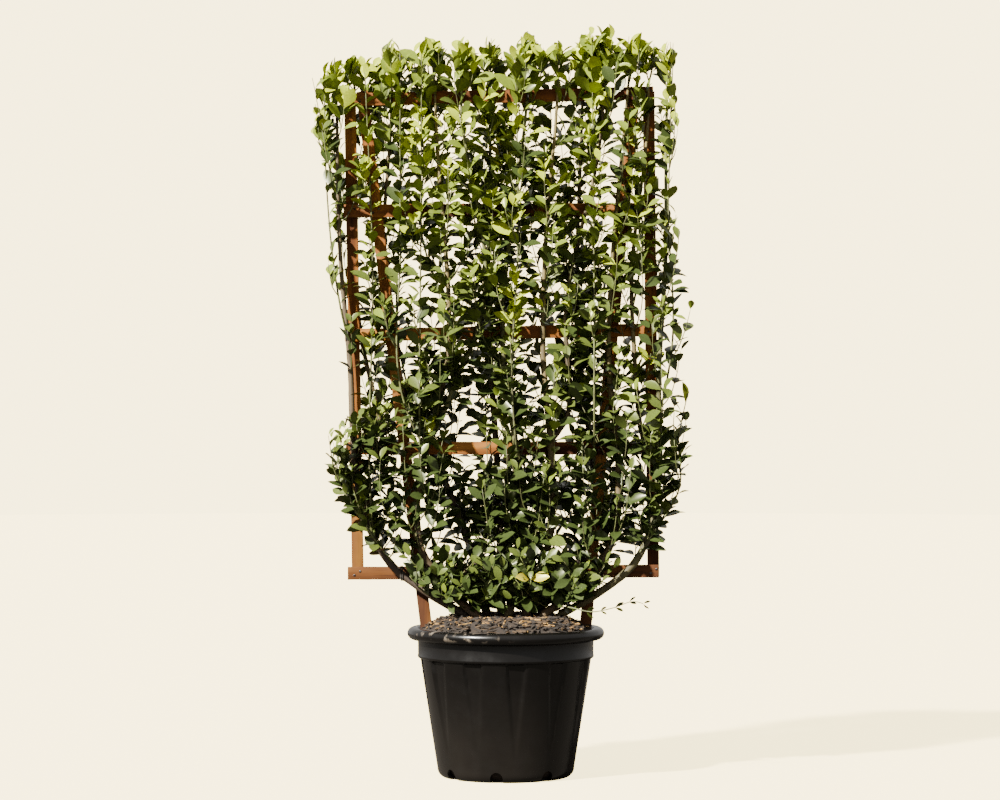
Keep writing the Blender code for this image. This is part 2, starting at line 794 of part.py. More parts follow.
def side_mass(name, space, sign, limbs, trees, fixed, material):
    """Grows a mass from the limb nearest to its middle that it can leave without touching."""
    rng = random.Random(f"{name} {SEED}")
    outward = Vector((0, sign, 0))
    middle = (space.low.x + space.high.x) / 2
    tries = []
    for lift in ROOT_LIFTS:
        z = space.low.z + lift
        for limb_name, limb in limbs.items():
            axis = point_at(limb.route, z)
            seat = limb.surface.ray_cast(axis + outward * CROWN_DEPTH, -outward)[0]
            if seat and limb.route[0].z < z and space.low.x < axis.x < space.high.x:
                tries.append((abs(axis.x - middle) + lift, limb_name, seat + outward * SHOOT_GAP))
    for _, limb_name, root in sorted(tries, key=lambda row: row[0]):
        obstacles = fixed + [tree for other, tree in trees.items() if other != limb_name]
        growth = Growth(space, obstacles, SIDE_LEAF, rng)
        route = shoot_route(space, root, outward, rng)
        swollen = [radius + TOUCH for radius in twig_radii(route[1:], SHOOT_RADIUS)]
        if growth.free(*skin(tube_rings(route[1:], swollen, TWIG_SIDES))):
            break
    else:
        raise RuntimeError(f"no limb carries {name}")
    growth.add_twig(route, SHOOT_RADIUS)
    growth.obstacles = fixed + list(trees.values())
    growth.dress([route[2:]] + side_twigs(growth, route, outward), SIDE_LEAVES)
    fuse(name, growth, material)


def make_side_masses(limbs, trees, fixed, material):
    """The foliage before and behind the trellis, one mass to each band and column."""
    for layer, sign, columns in (("front", -1, FRONT_COLUMNS), ("back", 1, BACK_COLUMNS)):
        for band, (floor, ceiling) in BANDS.items():
            for column, (left, right) in columns.items():
                if (layer, band, column) == BARE_SPACE:
                    continue
                if band == "low":
                    left = max(left, LOW_BAND_LEFT)
                depths = sorted((sign * CROWN_DEPTH, sign * 2 * GAP))
                low, high = Vector((left, depths[0], floor)), Vector((right, depths[1], ceiling))
                name = f"foliage_{layer}_{band}_{column}"
                side_mass(name, Space(low, high), sign, limbs, trees, fixed, material)


def make_top_masses(limbs, trees, fixed, material):
    """The leafy tips that stand above the top slat, one to each limb, side by side."""
    rows = {**STEMS, **BOUGHS}
    order = sorted(limbs, key=lambda name: rows[name].high)
    pitch = (CROWN_RIGHT - CROWN_LEFT) / len(order)
    evenly = [CROWN_LEFT + (n + 0.5) * pitch for n in range(len(order))]
    tips = [(even + rows[name].high) / 2 for even, name in zip(evenly, order)]
    edges = [CROWN_LEFT] + [(a + b) / 2 for a, b in zip(tips, tips[1:])] + [CROWN_RIGHT]
    for n, name in enumerate(order):
        reach = rows[name].reach
        low = Vector((edges[n] + GAP, -TOP_DEPTH, TOP_FLOOR))
        space = Space(low, Vector((edges[n + 1] - GAP, TOP_DEPTH, reach)))
        mass = f"top_shoot_{n + 1:02d}"
        rng = random.Random(f"{mass} {SEED}")
        growth = Growth(space, fixed + list(trees.values()), TOP_LEAF, rng)
        foot = limbs[name].route[-1] + Vector((0, 0, GAP))
        tip = Vector((tips[n], foot.y / 2, reach - 0.9 * TOP_LEAF.length))
        rise = foot + Vector((0, 0, SHOOT_SWING / 2))
        half_way = foot.lerp(tip, 0.5) + Vector((0, 0, SHOOT_SWING / 4))
        growth.add_twig([foot, rise, half_way, tip], STEM_TIP_RADIUS)
        growth.dress([[rise, half_way, tip]], TOP_LEAVES)
        fuse(mass, growth, material)


def main():
    clear_scene()
    plastic = make_material("pot_plastic", (0.018, 0.016, 0.015), 0.45)
    mulch = make_material("mulch", (0.10, 0.060, 0.032), 0.95)
    timber = make_material("trellis_wood", (0.36, 0.16, 0.065), 0.8)
    bark = make_material("stem_bark", (0.22, 0.17, 0.08), 0.75)
    leaf_green = make_material("leaf_green", (0.07, 0.13, 0.02), 0.4)
    pot = make_pot(plastic)
    soil = make_soil(mulch, ("leg_left", "leg_right"))
    trellis = make_trellis(timber)
    limbs = make_limbs(bark)
    fixed = [object_tree(made) for made in [pot, soil] + trellis]
    trees = {name: limb_tree(limb) for name, limb in limbs.items()}
    make_side_masses(limbs, trees, fixed, leaf_green)
    make_top_masses(limbs, trees, fixed, leaf_green)


main()
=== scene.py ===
import json
import math
import random
from typing import NamedTuple

import bmesh
import bpy
import numpy as np
from mathutils import Matrix, Vector, noise

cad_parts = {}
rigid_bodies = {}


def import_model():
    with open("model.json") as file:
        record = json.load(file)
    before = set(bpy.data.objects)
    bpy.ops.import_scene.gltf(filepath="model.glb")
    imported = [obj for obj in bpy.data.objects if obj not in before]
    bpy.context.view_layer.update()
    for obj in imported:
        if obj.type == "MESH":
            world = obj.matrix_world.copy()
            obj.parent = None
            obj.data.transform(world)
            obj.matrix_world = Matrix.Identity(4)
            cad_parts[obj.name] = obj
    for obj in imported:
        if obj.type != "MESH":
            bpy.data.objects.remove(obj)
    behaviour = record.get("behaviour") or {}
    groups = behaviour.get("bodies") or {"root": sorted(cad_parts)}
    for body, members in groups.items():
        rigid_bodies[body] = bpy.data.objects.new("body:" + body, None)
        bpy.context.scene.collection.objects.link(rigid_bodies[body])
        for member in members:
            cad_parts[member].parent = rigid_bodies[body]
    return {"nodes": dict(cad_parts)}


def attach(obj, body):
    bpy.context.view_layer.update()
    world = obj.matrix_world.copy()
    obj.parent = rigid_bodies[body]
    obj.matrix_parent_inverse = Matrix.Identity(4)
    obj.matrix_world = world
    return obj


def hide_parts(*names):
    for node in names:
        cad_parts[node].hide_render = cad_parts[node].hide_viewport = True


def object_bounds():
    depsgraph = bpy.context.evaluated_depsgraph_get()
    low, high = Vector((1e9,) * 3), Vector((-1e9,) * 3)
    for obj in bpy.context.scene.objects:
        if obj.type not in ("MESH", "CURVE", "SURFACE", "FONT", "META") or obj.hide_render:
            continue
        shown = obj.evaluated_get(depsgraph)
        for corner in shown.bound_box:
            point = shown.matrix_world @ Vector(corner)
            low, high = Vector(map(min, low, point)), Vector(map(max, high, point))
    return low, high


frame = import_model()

cad_box = [list(corner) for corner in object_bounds()]
BODY = "root"
SEED = 1

# Pot
POT_HEIGHT = 0.288
RIM_RADIUS = 0.1905
RIM_DEPTH = 0.0226
RIM_INNER_RADIUS = 0.1695
RIM_STEPS = 10
COLLAR_RADIUS = 0.170
COLLAR_FOOT = 0.230
BODY_TOP_RADIUS = 0.1655
BODY_FOOT_RADIUS = 0.1325
BODY_STEPS = 16
INNER_STEPS = 8
FOOT_RADIUS = 0.1185
FOOT_ROUND = 0.018
FOOT_STEPS = 6
WALL = 0.003
FLUTES = 12
FLUTE_TURN = math.radians(7)
FLUTE_HALF_ANGLE = math.radians(7.5)
FLUTE_FOOT_HALF_ANGLE = math.radians(1.5)
FLUTE_DEPTH = 0.0055
FLUTE_FOOT = 0.048
FLUTE_SIDE = math.radians(1.6)
NOTCHES = 8
NOTCH_TURN = math.radians(-8)
NOTCH_WIDTH = 0.024
NOTCH_HEIGHT = 0.021
NOTCH_STEPS = 12
POT_SEGMENTS = 288

# The collar's outline below the rim, as (out from its radius, up from its foot)
COLLAR_OUTLINE = (
    (0.0020, 0.0350), (0, 0.0332), (-0.0002, 0.0065), (0.0004, 0.0045), (0.0004, 0.0018), (-0.0008, 0),
)

# Mulch
SOIL_TOP = 0.308
SOIL_FLAT_RADIUS = 0.110
SOIL_EDGE = 0.2815
SOIL_RADIUS = COLLAR_RADIUS - WALL - 0.001
SOIL_SHOULDER = 0.002
SOIL_CLEARANCE = 0.002
MOUND_STEPS = 34
MOUND_SEGMENTS = 150
MOUND_LUMPS = ((55, 0.0035), (170, 0.0022))
MOUND_SINK = 0.001
CHIP_HALF_SIZES = ((0.004, 0.013), (0.0012, 0.0042), (0.0005, 0.0014))
CHIP_MARGIN = 0.010
CHIP_LIFT = 0.001
CHIP_TURNS = 7
CHIP_SLANT = 0.35
CHIP_ROLL = 0.4

# Trellis
SLAT_LENGTH = 0.602
SLAT_HEIGHT = 0.0248
SLAT_THICKNESS = 0.010
BAR_WIDTH = 0.0225
BAR_THICKNESS = 0.015
TRELLIS_TOP = 1.325
LEG_FOOT = 0.245
GAP = 0.0003
BAR_FRONT = SLAT_THICKNESS / 2 + GAP
SAWN_CUTS = 60
SAWN_EDGE = 0.0009
SAWN_RIPPLES = ((70, 0.00035), (14, 0.00045))
NAIL_RADIUS = 0.0026
NAIL_FLATNESS = 0.28
NAIL_SPREAD = 0.0055
NAIL_SLOPE = 0.7

# Ties, as (limb, slat counted from the top), and the twine
TIES = (
    ("stem_2", 0), ("stem_5", 0), ("stem_7", 0), ("stem_1", 2), ("stem_9", 2), ("stem_1", 4), ("stem_3", 3),
)
TIE_RADIUS = 0.0013
TIE_STEPS = 22
TIE_PITCH = 2.2
TIE_ROUNDNESS = 0.6


class Slat(NamedTuple):
    """A slat's middle and its tilt, in radians."""

    x: float
    z: float
    tilt: float


class Bar(NamedTuple):
    """An upright or a leg: its x at the bottom slat, its lean to +X in radians, and its foot's height."""

    x: float
    lean: float
    foot: float


SLATS = (
    Slat(-0.0155, 1.3144, 0.0225),
    Slat(-0.0130, 1.0946, 0.0060),
    Slat(-0.0105, 0.8575, 0.0176),
    Slat(-0.0085, 0.6337, 0.0000),
    Slat(-0.0050, 0.3937, 0.0075),
)
TOP_SLAT, MIDDLE_SLAT, BOTTOM_SLAT = SLATS[0].z, SLATS[2].z, SLATS[4].z
UPRIGHT_FOOT = BOTTOM_SLAT - SLAT_HEIGHT / 2 + 0.003
BARS = {
    "upright_left": Bar(-0.287, -0.0163, UPRIGHT_FOOT),
    "upright_right": Bar(0.286, -0.0095, UPRIGHT_FOOT),
    "leg_left": Bar(-0.1670, -0.1195, LEG_FOOT),
    "leg_right": Bar(0.1645, 0.0907, LEG_FOOT),
}

# Stems and boughs
STEM_TOP = 1.336
STEM_FOOT_RADIUS = 0.0078
STEM_TIP_RADIUS = 0.0025
STEM_RINGS = 13
STEM_WAVE = 0.003
STEM_WAVE_TURN = 9
BOUGH_FOOT_RADIUS = 0.0052
BOUGH_SWING = 1.4
BOUGH_CLIMB = 2.6
BOUGH_EASE = 3
ROOT_FLARE = 1.35
FLARE_HEIGHT = 0.012
FOOT_SINK = 0.004
FINE_RINGS = 110
FINE_SIDES = 14
SLAT_CLEARANCE = 0.002
SCAR_SPACING = 0.034
SCAR_HALF_WIDTH = 0.004
SCAR_SWELL = 0.10
RIDGE_SCALE = Vector((260, 260, 45))
RIDGE_DEPTH = 0.10
NEARLY_PARALLEL = 0.99


class Stem(NamedTuple):
    """A limb that stands on the mulch: its foot, its x at three slats, and its topmost leaf's height."""

    foot: tuple
    low: float
    middle: float
    high: float
    reach: float
    front: bool
    bark: str


class Bough(NamedTuple):
    """A limb that forks from a stem. elbow is how far it swings aside before it climbs."""

    parent: str
    fork: float
    elbow: float
    middle: float
    high: float
    reach: float
    front: bool
    bark: str


STEMS = {
    "stem_1": Stem((-0.070, -0.012), -0.205, -0.309, -0.327, 1.390, True, "brown"),
    "stem_2": Stem((-0.036, 0.010), -0.055, -0.228, -0.222, 1.433, False, "brown"),
    "stem_3": Stem((-0.052, -0.036), -0.139, -0.112, -0.137, 1.428, True, "golden"),
    "stem_4": Stem((-0.008, 0.024), -0.010, -0.030, -0.031, 1.439, False, "brown"),
    "stem_5": Stem((0.004, -0.022), 0.024, -0.004, 0.042, 1.443, True, "green"),
    "stem_6": Stem((0.036, -0.010), 0.070, 0.070, 0.100, 1.426, True, "golden"),
    "stem_7": Stem((0.050, 0.027), 0.134, 0.138, 0.149, 1.441, False, "brown"),
    "stem_8": Stem((0.066, -0.026), 0.172, 0.196, 0.235, 1.433, True, "golden"),
    "stem_9": Stem((0.098, -0.004), 0.232, 0.298, 0.312, 1.420, True, "green"),
}
BOUGHS = {
    "bough_1": Bough("stem_1", 0.520, 0.024, -0.284, -0.294, 1.404, False, "golden"),
    "bough_2": Bough("stem_3", 0.668, 0.022, -0.054, -0.086, 1.435, True, "green"),
    "bough_3": Bough("stem_6", 0.645, 0.024, 0.116, 0.188, 1.456, True, "brown"),
    "bough_4": Bough("stem_9", 0.600, -0.022, 0.244, 0.275, 1.424, True, "golden"),
}
LIMBS = {**STEMS, **BOUGHS}


class Young(NamedTuple):
    """A thin green stem that forks from a limb. lean is how far its top leans to +X."""

    parent: str
    fork: float
    x: float
    depth: float
    reach: float
    lean: float


YOUNG_STEMS = (
    Young("stem_1", 0.470, -0.262, -0.030, 1.385, -0.010),
    Young("stem_2", 0.560, -0.190, -0.034, 1.415, -0.014),
    Young("stem_2", 0.700, -0.206, 0.048, 1.400, 0.004),
    Young("stem_3", 0.560, -0.166, -0.046, 1.432, 0.004),
    Young("stem_3", 0.900, -0.160, 0.052, 1.420, -0.020),
    Young("stem_1", 0.400, -0.318, -0.034, 0.650, -0.020),
    Young("stem_1", 0.850, -0.328, -0.034, 1.372, -0.022),
    Young("stem_5", 0.600, 0.014, -0.046, 1.424, 0.004),
    Young("stem_7", 0.560, 0.170, -0.040, 1.450, -0.004),
    Young("stem_9", 0.700, 0.318, -0.030, 1.395, 0.004),
    Young("stem_9", 0.400, 0.335, -0.026, 0.760, 0.016),
    Young("bough_4", 0.900, 0.262, -0.030, 1.440, -0.004),
)
YOUNG_RADIUS = 0.0024
YOUNG_STEPS = 44
YOUNG_STRETCH = 8
YOUNG_PAIR_SPACING = 0.0250
YOUNG_ELBOW = 0.45
YOUNG_ELBOW_DEPTH = 0.25
YOUNG_SAG = 0.008
YOUNG_SLANT = 0.6
YOUNG_CLEAR = 0.10
YOUNG_WAVE = (0.012, 0.006)
YOUNG_INWARD = 0.7
YOUNG_TOP_LEAF = 0.020
YOUNG_SHOOT_LENGTH = (0.05, 0.11)

# The twig that trails over the rim
TRAILER = (
    (0.120, -0.060, 0.330), (0.165, -0.075, 0.322), (0.205, -0.080, 0.330),
    (0.248, -0.078, 0.342), (0.262, -0.076, 0.338),
)
TRAILER_FOOT = 0.326
TRAILER_RADIUS = 0.0017
TRAILER_STEPS = 22
TRAILER_BARE_STEPS = 6
TRAILER_LEAF_STEPS = 3
TRAILER_LEAF = (0.012, 0.021)
TRAILER_LEAF_SHAPE = (0.45, 0.1, 0.2)
TRAILER_LEAF_TILT = 0.2
TRAILER_LEAF_SLANT = 0.7
TRAILER_LEAF_SIDE = Vector((0.2, -0.4, 0.9))

# Crown: its edges as (height, x) up each side, its depth, and the heights where its habit changes
LEFT_EDGE = (
    (0.31, -0.120), (0.36, -0.165), (0.415, -0.200), (0.445, -0.345), (0.65, -0.348), (0.70, -0.326),
    (0.90, -0.322), (0.94, -0.342), (1.16, -0.345), (1.19, -0.372), (1.31, -0.378), (1.36, -0.372),
    (1.46, -0.345),
)
RIGHT_EDGE = (
    (0.31, 0.150), (0.36, 0.180), (0.415, 0.215), (0.445, 0.364), (0.72, 0.364), (0.80, 0.350),
    (0.92, 0.364), (0.98, 0.350), (1.02, 0.332), (1.31, 0.330), (1.46, 0.325),
)
CROWN_DEPTH = 0.086
CROWN_FLOOR = 0.318
LOW_CROWN = 0.470
SKIRT_TOP = LOW_CROWN - 0.07
FULL_BELOW = 0.62
HIGH_CROWN = 1.20
JAGGED_FROM = 1.30
TIP_SLOPE = 1.5
TIP_HALF_WIDTH = 0.008
SIDE_MARGIN = 0.006
TOP_MARGIN = 0.001

# How likely a node bears a shoot, as (from x, to x, below z, how likely), in the first row that fits
EVERYWHERE = 9
VIGOUR = (
    (-0.22, 0.22, FULL_BELOW, 0.97), (-EVERYWHERE, EVERYWHERE, FULL_BELOW, 0.80),
    (-EVERYWHERE, -0.25, HIGH_CROWN, 0.50), (0.02, EVERYWHERE, EVERYWHERE, 0.58),
    (-EVERYWHERE, EVERYWHERE, HIGH_CROWN, 0.76), (-EVERYWHERE, EVERYWHERE, EVERYWHERE, 0.90),
)

# Side shoots
NODE_SPACING = 0.036
LOW_NODE_SPACING = 0.013
NODE_TWIST = 0.35
FIRST_SHOOT = 0.322
BARE_FOOT = 0.015
SHOOT_ROOT = 0.6
SHOOT_CLEARANCE = 0.002
SHOOT_LENGTH = (0.070, 0.190)
SHOOT_RADIUS = 0.0014
SHOOT_TAPER = 0.55
SHOOT_RISE = (0.40, 1.10)
SHOOT_LIFT = 0.42
SHOOT_WANDER = 0.13
SHOOT_STEPS = 6
SHOOT_SIDES = 5
FORK_CHANCE = 0.55
FORK_LENGTH = (0.45, 0.7)
FORK_RADIUS = 0.7
SKIRT_LENGTH = 0.6
SKIRT_RISE = 0.3
SKIRT_LIFT = 0.12
LEADER_FAN = 1.04
LEADER_INWARD = 0.4
LEADER_WAVE = 0.004
LEADER_TOP_LEAF = 0.016
LEADER_SHOOTS = 4
LEADER_SHOOT_ROOTS = (0.0, 0.45)
LEADER_SHOOT_RISE = 0.6
LEADER_SHOOT_DEPTH = 0.8
LEADER_SHOOT_LENGTH = (0.03, 0.07)

# Leaves
LEAF_PAIR_SPACING = 0.0225
LEAF_PAIR_WANDER = 0.1
BARE_STALK = 0.006
LEAF_MIDDLE = 0.55
LEAF_CLEARANCE = 0.001
LEAF_LENGTH = (0.037, 0.052)
TOP_LEAF_LENGTH = (0.038, 0.056)
LEAF_SHARE = (0.82, 1.08)
LEAF_WIDTH = (0.44, 0.56)
LEAF_CURL = (0.06, 0.32)
LEAF_FOLD = (0.10, 0.42)
LEAF_LEAN = (0.75, 1.15)
TOP_LEAF_LEAN = (0.40, 0.80)
LEAN_SPREAD = 0.25
LEAF_WANDER = 0.16
LEAF_ROLL = 0.45
LEAF_UPRIGHT = 0.60
LEAF_TO_LIGHT = (-0.10, 0.85)
TOWARDS_LIGHT = Vector((-0.45, -0.55, 0.70))
TIP_SIZES = (0.62, 0.85, 1)
TIP_LEANS = (0.55, 0.8, 1)

# Picture
WHITE = (1, 1, 1)
BACKGROUND = (6.3, 5.2, 2.65)
FLOOR_RADIUS = 14
FLOOR_PALE = (0.45, 0.36, 0.207)
FLOOR_GLOW = (4.30, 3.60, 1.72)
FLOOR_DULL = (0.060, 0.055, 0.048)
SKY_LIGHT = 0.80
SKY_COLOUR = (1.0, 0.98, 0.94)
SUN_LIGHT = 24.0
SUN_SIZE = math.radians(2.5)
SUN_COLOUR = (1.0, 0.97, 0.90)
SUN_HEADING = (0.62, 0.62, -0.72)
CAMERA_PLACE = (-0.0112, -6.0, 0.727)
LENS = 111.6


def clear_studio():
    for old in list(bpy.data.objects):
        if old.type in ("LIGHT", "CAMERA"):
            bpy.data.objects.remove(old)


def placed(name, data):
    """A new object in the scene."""
    made = bpy.data.objects.new(name, data)
    bpy.context.scene.collection.objects.link(made)
    return made


def as_mesh(name, shape):
    """A mesh made from a bmesh, its faces turned out, or from (points, faces)."""
    mesh = bpy.data.meshes.new(name)
    if isinstance(shape, tuple):
        mesh.from_pydata(shape[0], [], shape[1])
    else:
        bmesh.ops.recalc_face_normals(shape, faces=shape.faces)
        shape.to_mesh(mesh)
        shape.free()
    return mesh


def add_piece(name, shape, material, slot, *replaced):
    """Makes a shape a piece of the part, riding on its one body."""
    mesh = as_mesh(name, shape)
    mesh.materials.append(material)
    mesh.shade_smooth()
    piece = placed(name, mesh)
    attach(piece, BODY)
    if replaced:
        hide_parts(*replaced)
    return piece


# Materials


def feed(tree, value, socket):
    """Gives a socket another node's output, or a number, a vector or a colour."""
    if isinstance(value, bpy.types.NodeSocket):
        tree.links.new(value, socket)
    else:
        socket.default_value = (*value, 1) if socket.type == "RGBA" else value


def new_node(tree, kind, inputs, **settings):
    """A shader node with its settings made and its inputs fed."""
    node = tree.nodes.new(f"ShaderNode{kind}")
    for key, value in settings.items():
        setattr(node, key, value)
    for key, value in inputs.items():
        feed(tree, value, node.inputs[key])
    return node


class Finish:
    """A Principled material under construction, with short ways to wire its nodes."""

    def __init__(self, name, colour, roughness, specular=0.5):
        self.material = bpy.data.materials.new(name)
        self.material.use_nodes = True
        self.tree = self.material.node_tree
        self.place = new_node(self.tree, "TexCoord", {}).outputs["Object"]
        self.set("Base Color", colour)
        self.set("Roughness", roughness)
        self.set("Specular IOR Level", specular)

    def set(self, key, value):
        feed(self.tree, value, self.tree.nodes["Principled BSDF"].inputs[key])

    def node(self, kind, output, inputs, **settings):
        return new_node(self.tree, kind, inputs, **settings).outputs[output]

    def noise(self, scale, detail=4, stretch=(1, 1, 1), distortion=0.0):
        place = self.node("Mapping", "Vector", {"Vector": self.place, "Scale": stretch})
        inputs = {"Vector": place, "Scale": scale, "Detail": detail, "Distortion": distortion}
        return self.node("TexNoise", "Fac", inputs)

    def ramp(self, value, *stops):
        """A colour for each value, between (position, colour) stops."""
        node = new_node(self.tree, "ValToRGB", {"Fac": value})
        points = node.color_ramp.elements
        while len(points) < len(stops):
            points.new(0.5)
        for point, (position, colour) in zip(points, stops):
            point.position = position
            point.color = (*colour, 1)
        return node.outputs["Color"]

    def range(self, value, low, high, to_low=0.0, to_high=1.0):
        inputs = {"Value": value, "From Min": low, "From Max": high, "To Min": to_low, "To Max": to_high}
        return self.node("MapRange", "Result", inputs)

    def axis(self, name):
        return self.node("SeparateXYZ", name, {"Vector": self.place})

    def times(self, a, b):
        return self.node("Math", "Value", {0: a, 1: b}, operation="MULTIPLY")

    def mix(self, share, a, b, blend="MIX"):
        inputs = {"Factor": share, "A": a, "B": b}
        return self.node("Mix", "Result", inputs, data_type="RGBA", blend_type=blend)

    def done(self, colour, height=None, strength=0.0, distance=0.0):
        """The material, in its colour and with the bumps that a height gives it."""
        self.set("Base Color", colour)
        if height is not None:
            inputs = {"Height": height, "Strength": strength, "Distance": distance}
            self.set("Normal", self.node("Bump", "Normal", inputs))
        return self.material


def wood_finish(name, stretch):
    """Rough-sawn softwood with its grain along the axis that is stretched least, and painted shade that
    darkens it towards the bottom.
    """
    finish = Finish(name, (0.36, 0.16, 0.065), 0.78, 0.25)
    grain = finish.noise(26, 6, stretch, 0.6)
    colour = finish.ramp(
        grain, (0.28, (0.040, 0.011, 0.002)), (0.42, (0.120, 0.036, 0.004)),
        (0.56, (0.210, 0.072, 0.007)), (0.74, (0.360, 0.160, 0.022)),
    )
    stain = finish.ramp(finish.noise(7, 3), (0.34, (0.50, 0.42, 0.36)), (0.50, WHITE))
    knots = finish.ramp(finish.noise(30, 3, stretch, 1.2), (0.31, (0.22, 0.16, 0.13)), (0.41, WHITE))
    # Painted shade: the wood darkens towards the bottom, where the foliage above shades it
    height = finish.range(finish.axis("Z"), 0.36, 0.66)
    low_painted_shade = finish.ramp(height, (0.0, (0.36, 0.33, 0.30)), (1.0, WHITE))
    for shade in (stain, knots, low_painted_shade):
        colour = finish.mix(1.0, colour, shade, "MULTIPLY")
    finish.set("Roughness", finish.range(grain, 0.3, 0.7, 0.88, 0.62))
    return finish.done(colour, finish.noise(60, 5, stretch), 0.9, 0.0012)


BARKS = {
    "brown": ((0.045, 0.028, 0.016), (0.100, 0.070, 0.028)),
    "golden": ((0.075, 0.048, 0.020), (0.150, 0.115, 0.034)),
    "green": ((0.080, 0.066, 0.022), (0.125, 0.140, 0.034)),
}


def bark_finish(name, low, high):
    """Streaked bark that goes from its low colour to its high one up the stem."""
    finish = Finish(name, high, 0.7)
    height = finish.range(finish.axis("Z"), 0.33, 1.10)
    streaks = finish.noise(90, 4, (1, 1, 0.16))
    shade = finish.ramp(streaks, (0.30, (0.52, 0.47, 0.42)), (0.58, WHITE), (0.75, (1.35, 1.3, 1.2)))
    colour = finish.mix(1.0, finish.mix(height, low, high), shade, "MULTIPLY")
    return finish.done(colour, streaks, 0.5, 0.0009)


def plastic_finish():
    """Warm black moulded plastic, dusty low down and scuffed grey on the rim's front left."""
    finish = Finish("pot_plastic", (0.004, 0.0035, 0.0030), 0.42, 0.30)
    height = finish.axis("Z")
    dust = finish.times(finish.noise(9, 5), finish.range(height, 0.20, 0.0))
    base = finish.mix(dust, (0.0020, 0.0017, 0.0015), (0.012, 0.010, 0.008))
    patches = finish.range(finish.noise(60, 6), 0.56, 0.66)
    on_rim = finish.range(height, 0.268, 0.278)
    to_left = finish.range(finish.axis("X"), 0.02, -0.07)
    to_front = finish.range(finish.axis("Y"), -0.06, -0.13)
    scuffed = finish.times(finish.times(patches, on_rim), finish.times(to_left, to_front))
    finish.set("Roughness", finish.range(finish.noise(40, 5), 0.3, 0.7, 0.20, 0.32))
    colour = finish.mix(scuffed, base, (0.110, 0.090, 0.068))
    return finish.done(colour, finish.noise(260, 3), 0.12, 0.0004)


def mottled_finish(name, dark, light, scale, roughness, bump=0.0006):
    """A plain colour that wanders between two near ones."""
    finish = Finish(name, light, roughness)
    wander = finish.noise(scale, 4)
    return finish.done(finish.ramp(wander, (0.35, dark), (0.65, light)), wander, 0.4, bump)


# Each kind's colour, and how much blue its gloss keeps
LEAF_COLOURS = {
    "leaves_young": ((0.300, 0.350, 0.020), 0.25),
    "leaves_bright": ((0.130, 0.170, 0.018), 0.45),
    "leaves_mature": ((0.060, 0.080, 0.014), 0.65),
    "leaves_deep": ((0.028, 0.041, 0.010), 0.70),
    "leaves_yellow": ((0.380, 0.330, 0.025), 0.5),
}


def leaf_finish(name, colour, gloss_blue):
    """A leathery, glossy blade."""
    finish = Finish(name, colour, 0.30, 0.30)
    finish.set("Specular Tint", (1.0, 1.0, gloss_blue))
    veins = finish.noise(420, 3)
    darker = tuple(0.80 * part for part in colour)
    lighter = tuple(1.12 * part for part in colour)
    return finish.done(finish.ramp(veins, (0.36, darker), (0.64, lighter)), veins, 0.25, 0.0003)


# Pot


def body_radius(z):
    share = (z - FOOT_ROUND) / (COLLAR_FOOT - FOOT_ROUND)
    return BODY_FOOT_RADIUS + share * (BODY_TOP_RADIUS - BODY_FOOT_RADIUS)


def smooth_step(value, low, high):
    share = min(max((value - low) / (high - low), 0), 1)
    return share * share * (3 - 2 * share)


def flute_press(angle, z):
    """How far the wall is pressed in at a place: flat floors with short sloping sides."""
    if not FLUTE_FOOT < z < COLLAR_FOOT - WALL / 4:
        return 0.0
    share = (z - FLUTE_FOOT) / (COLLAR_FOOT - FLUTE_FOOT)
    half = FLUTE_FOOT_HALF_ANGLE + share * (FLUTE_HALF_ANGLE - FLUTE_FOOT_HALF_ANGLE)
    pitch = 2 * math.pi / FLUTES
    turn = (angle + math.pi / 2 - FLUTE_TURN + pitch / 2) % pitch - pitch / 2
    return FLUTE_DEPTH * share * (1 - smooth_step(abs(turn), half - FLUTE_SIDE, half))


def arc(middle, reach, start, turn, steps):
    """Evenly turned points on an ellipse, as (across, up)."""
    angles = [start + turn * step / steps for step in range(steps + 1)]
    return [(middle[0] + reach[0] * math.cos(a), middle[1] + reach[1] * math.sin(a)) for a in angles]


def pot_profile():
    """(radius, z) down the outside, then up the inside."""
    rows = [(RIM_INNER_RADIUS, POT_HEIGHT - WALL), (RIM_INNER_RADIUS + WALL / 2, POT_HEIGHT - WALL / 4)]
    bulge = RIM_DEPTH / 2
    rows += arc((RIM_RADIUS - bulge, POT_HEIGHT - bulge), (bulge, bulge), math.pi / 2, -math.pi, RIM_STEPS)
    rows += [(COLLAR_RADIUS + out, COLLAR_FOOT + up) for out, up in COLLAR_OUTLINE]
    top = COLLAR_FOOT - WALL / 2
    for step in range(BODY_STEPS + 1):
        z = top - step * (top - FOOT_ROUND) / BODY_STEPS
        rows.append((body_radius(z), z))
    foot_curve = (BODY_FOOT_RADIUS - FOOT_RADIUS, FOOT_ROUND)
    rows += arc((FOOT_RADIUS, FOOT_ROUND), foot_curve, 0, -math.pi / 2, FOOT_STEPS)[1:]
    rows += [(0, 0), (0, WALL), (FOOT_RADIUS - WALL, WALL), (BODY_FOOT_RADIUS - WALL, FOOT_ROUND)]
    for step in range(1, INNER_STEPS + 1):
        z = FOOT_ROUND + step * (COLLAR_FOOT - 2 * WALL - FOOT_ROUND) / INNER_STEPS
        rows.append((body_radius(z) - WALL, z))
    return rows + [(COLLAR_RADIUS - WALL, COLLAR_FOOT + WALL / 2), rows[0]]


def spun(profile, segments):
    """A closed shell turned about Z from (radius, z) rows."""
    bm = bmesh.new()
    verts = [bm.verts.new((radius, 0, z)) for radius, z in profile[:-1]]
    edges = [bm.edges.new((a, b)) for a, b in zip(verts, verts[1:] + verts[:1])]
    bmesh.ops.spin(
        bm, geom=verts + edges, cent=(0, 0, 0), axis=(0, 0, 1),
        angle=2 * math.pi, steps=segments, use_merge=True,
    )
    bmesh.ops.remove_doubles(bm, verts=bm.verts, dist=1e-6)
    bmesh.ops.dissolve_degenerate(bm, edges=bm.edges, dist=1e-7)
    return bm


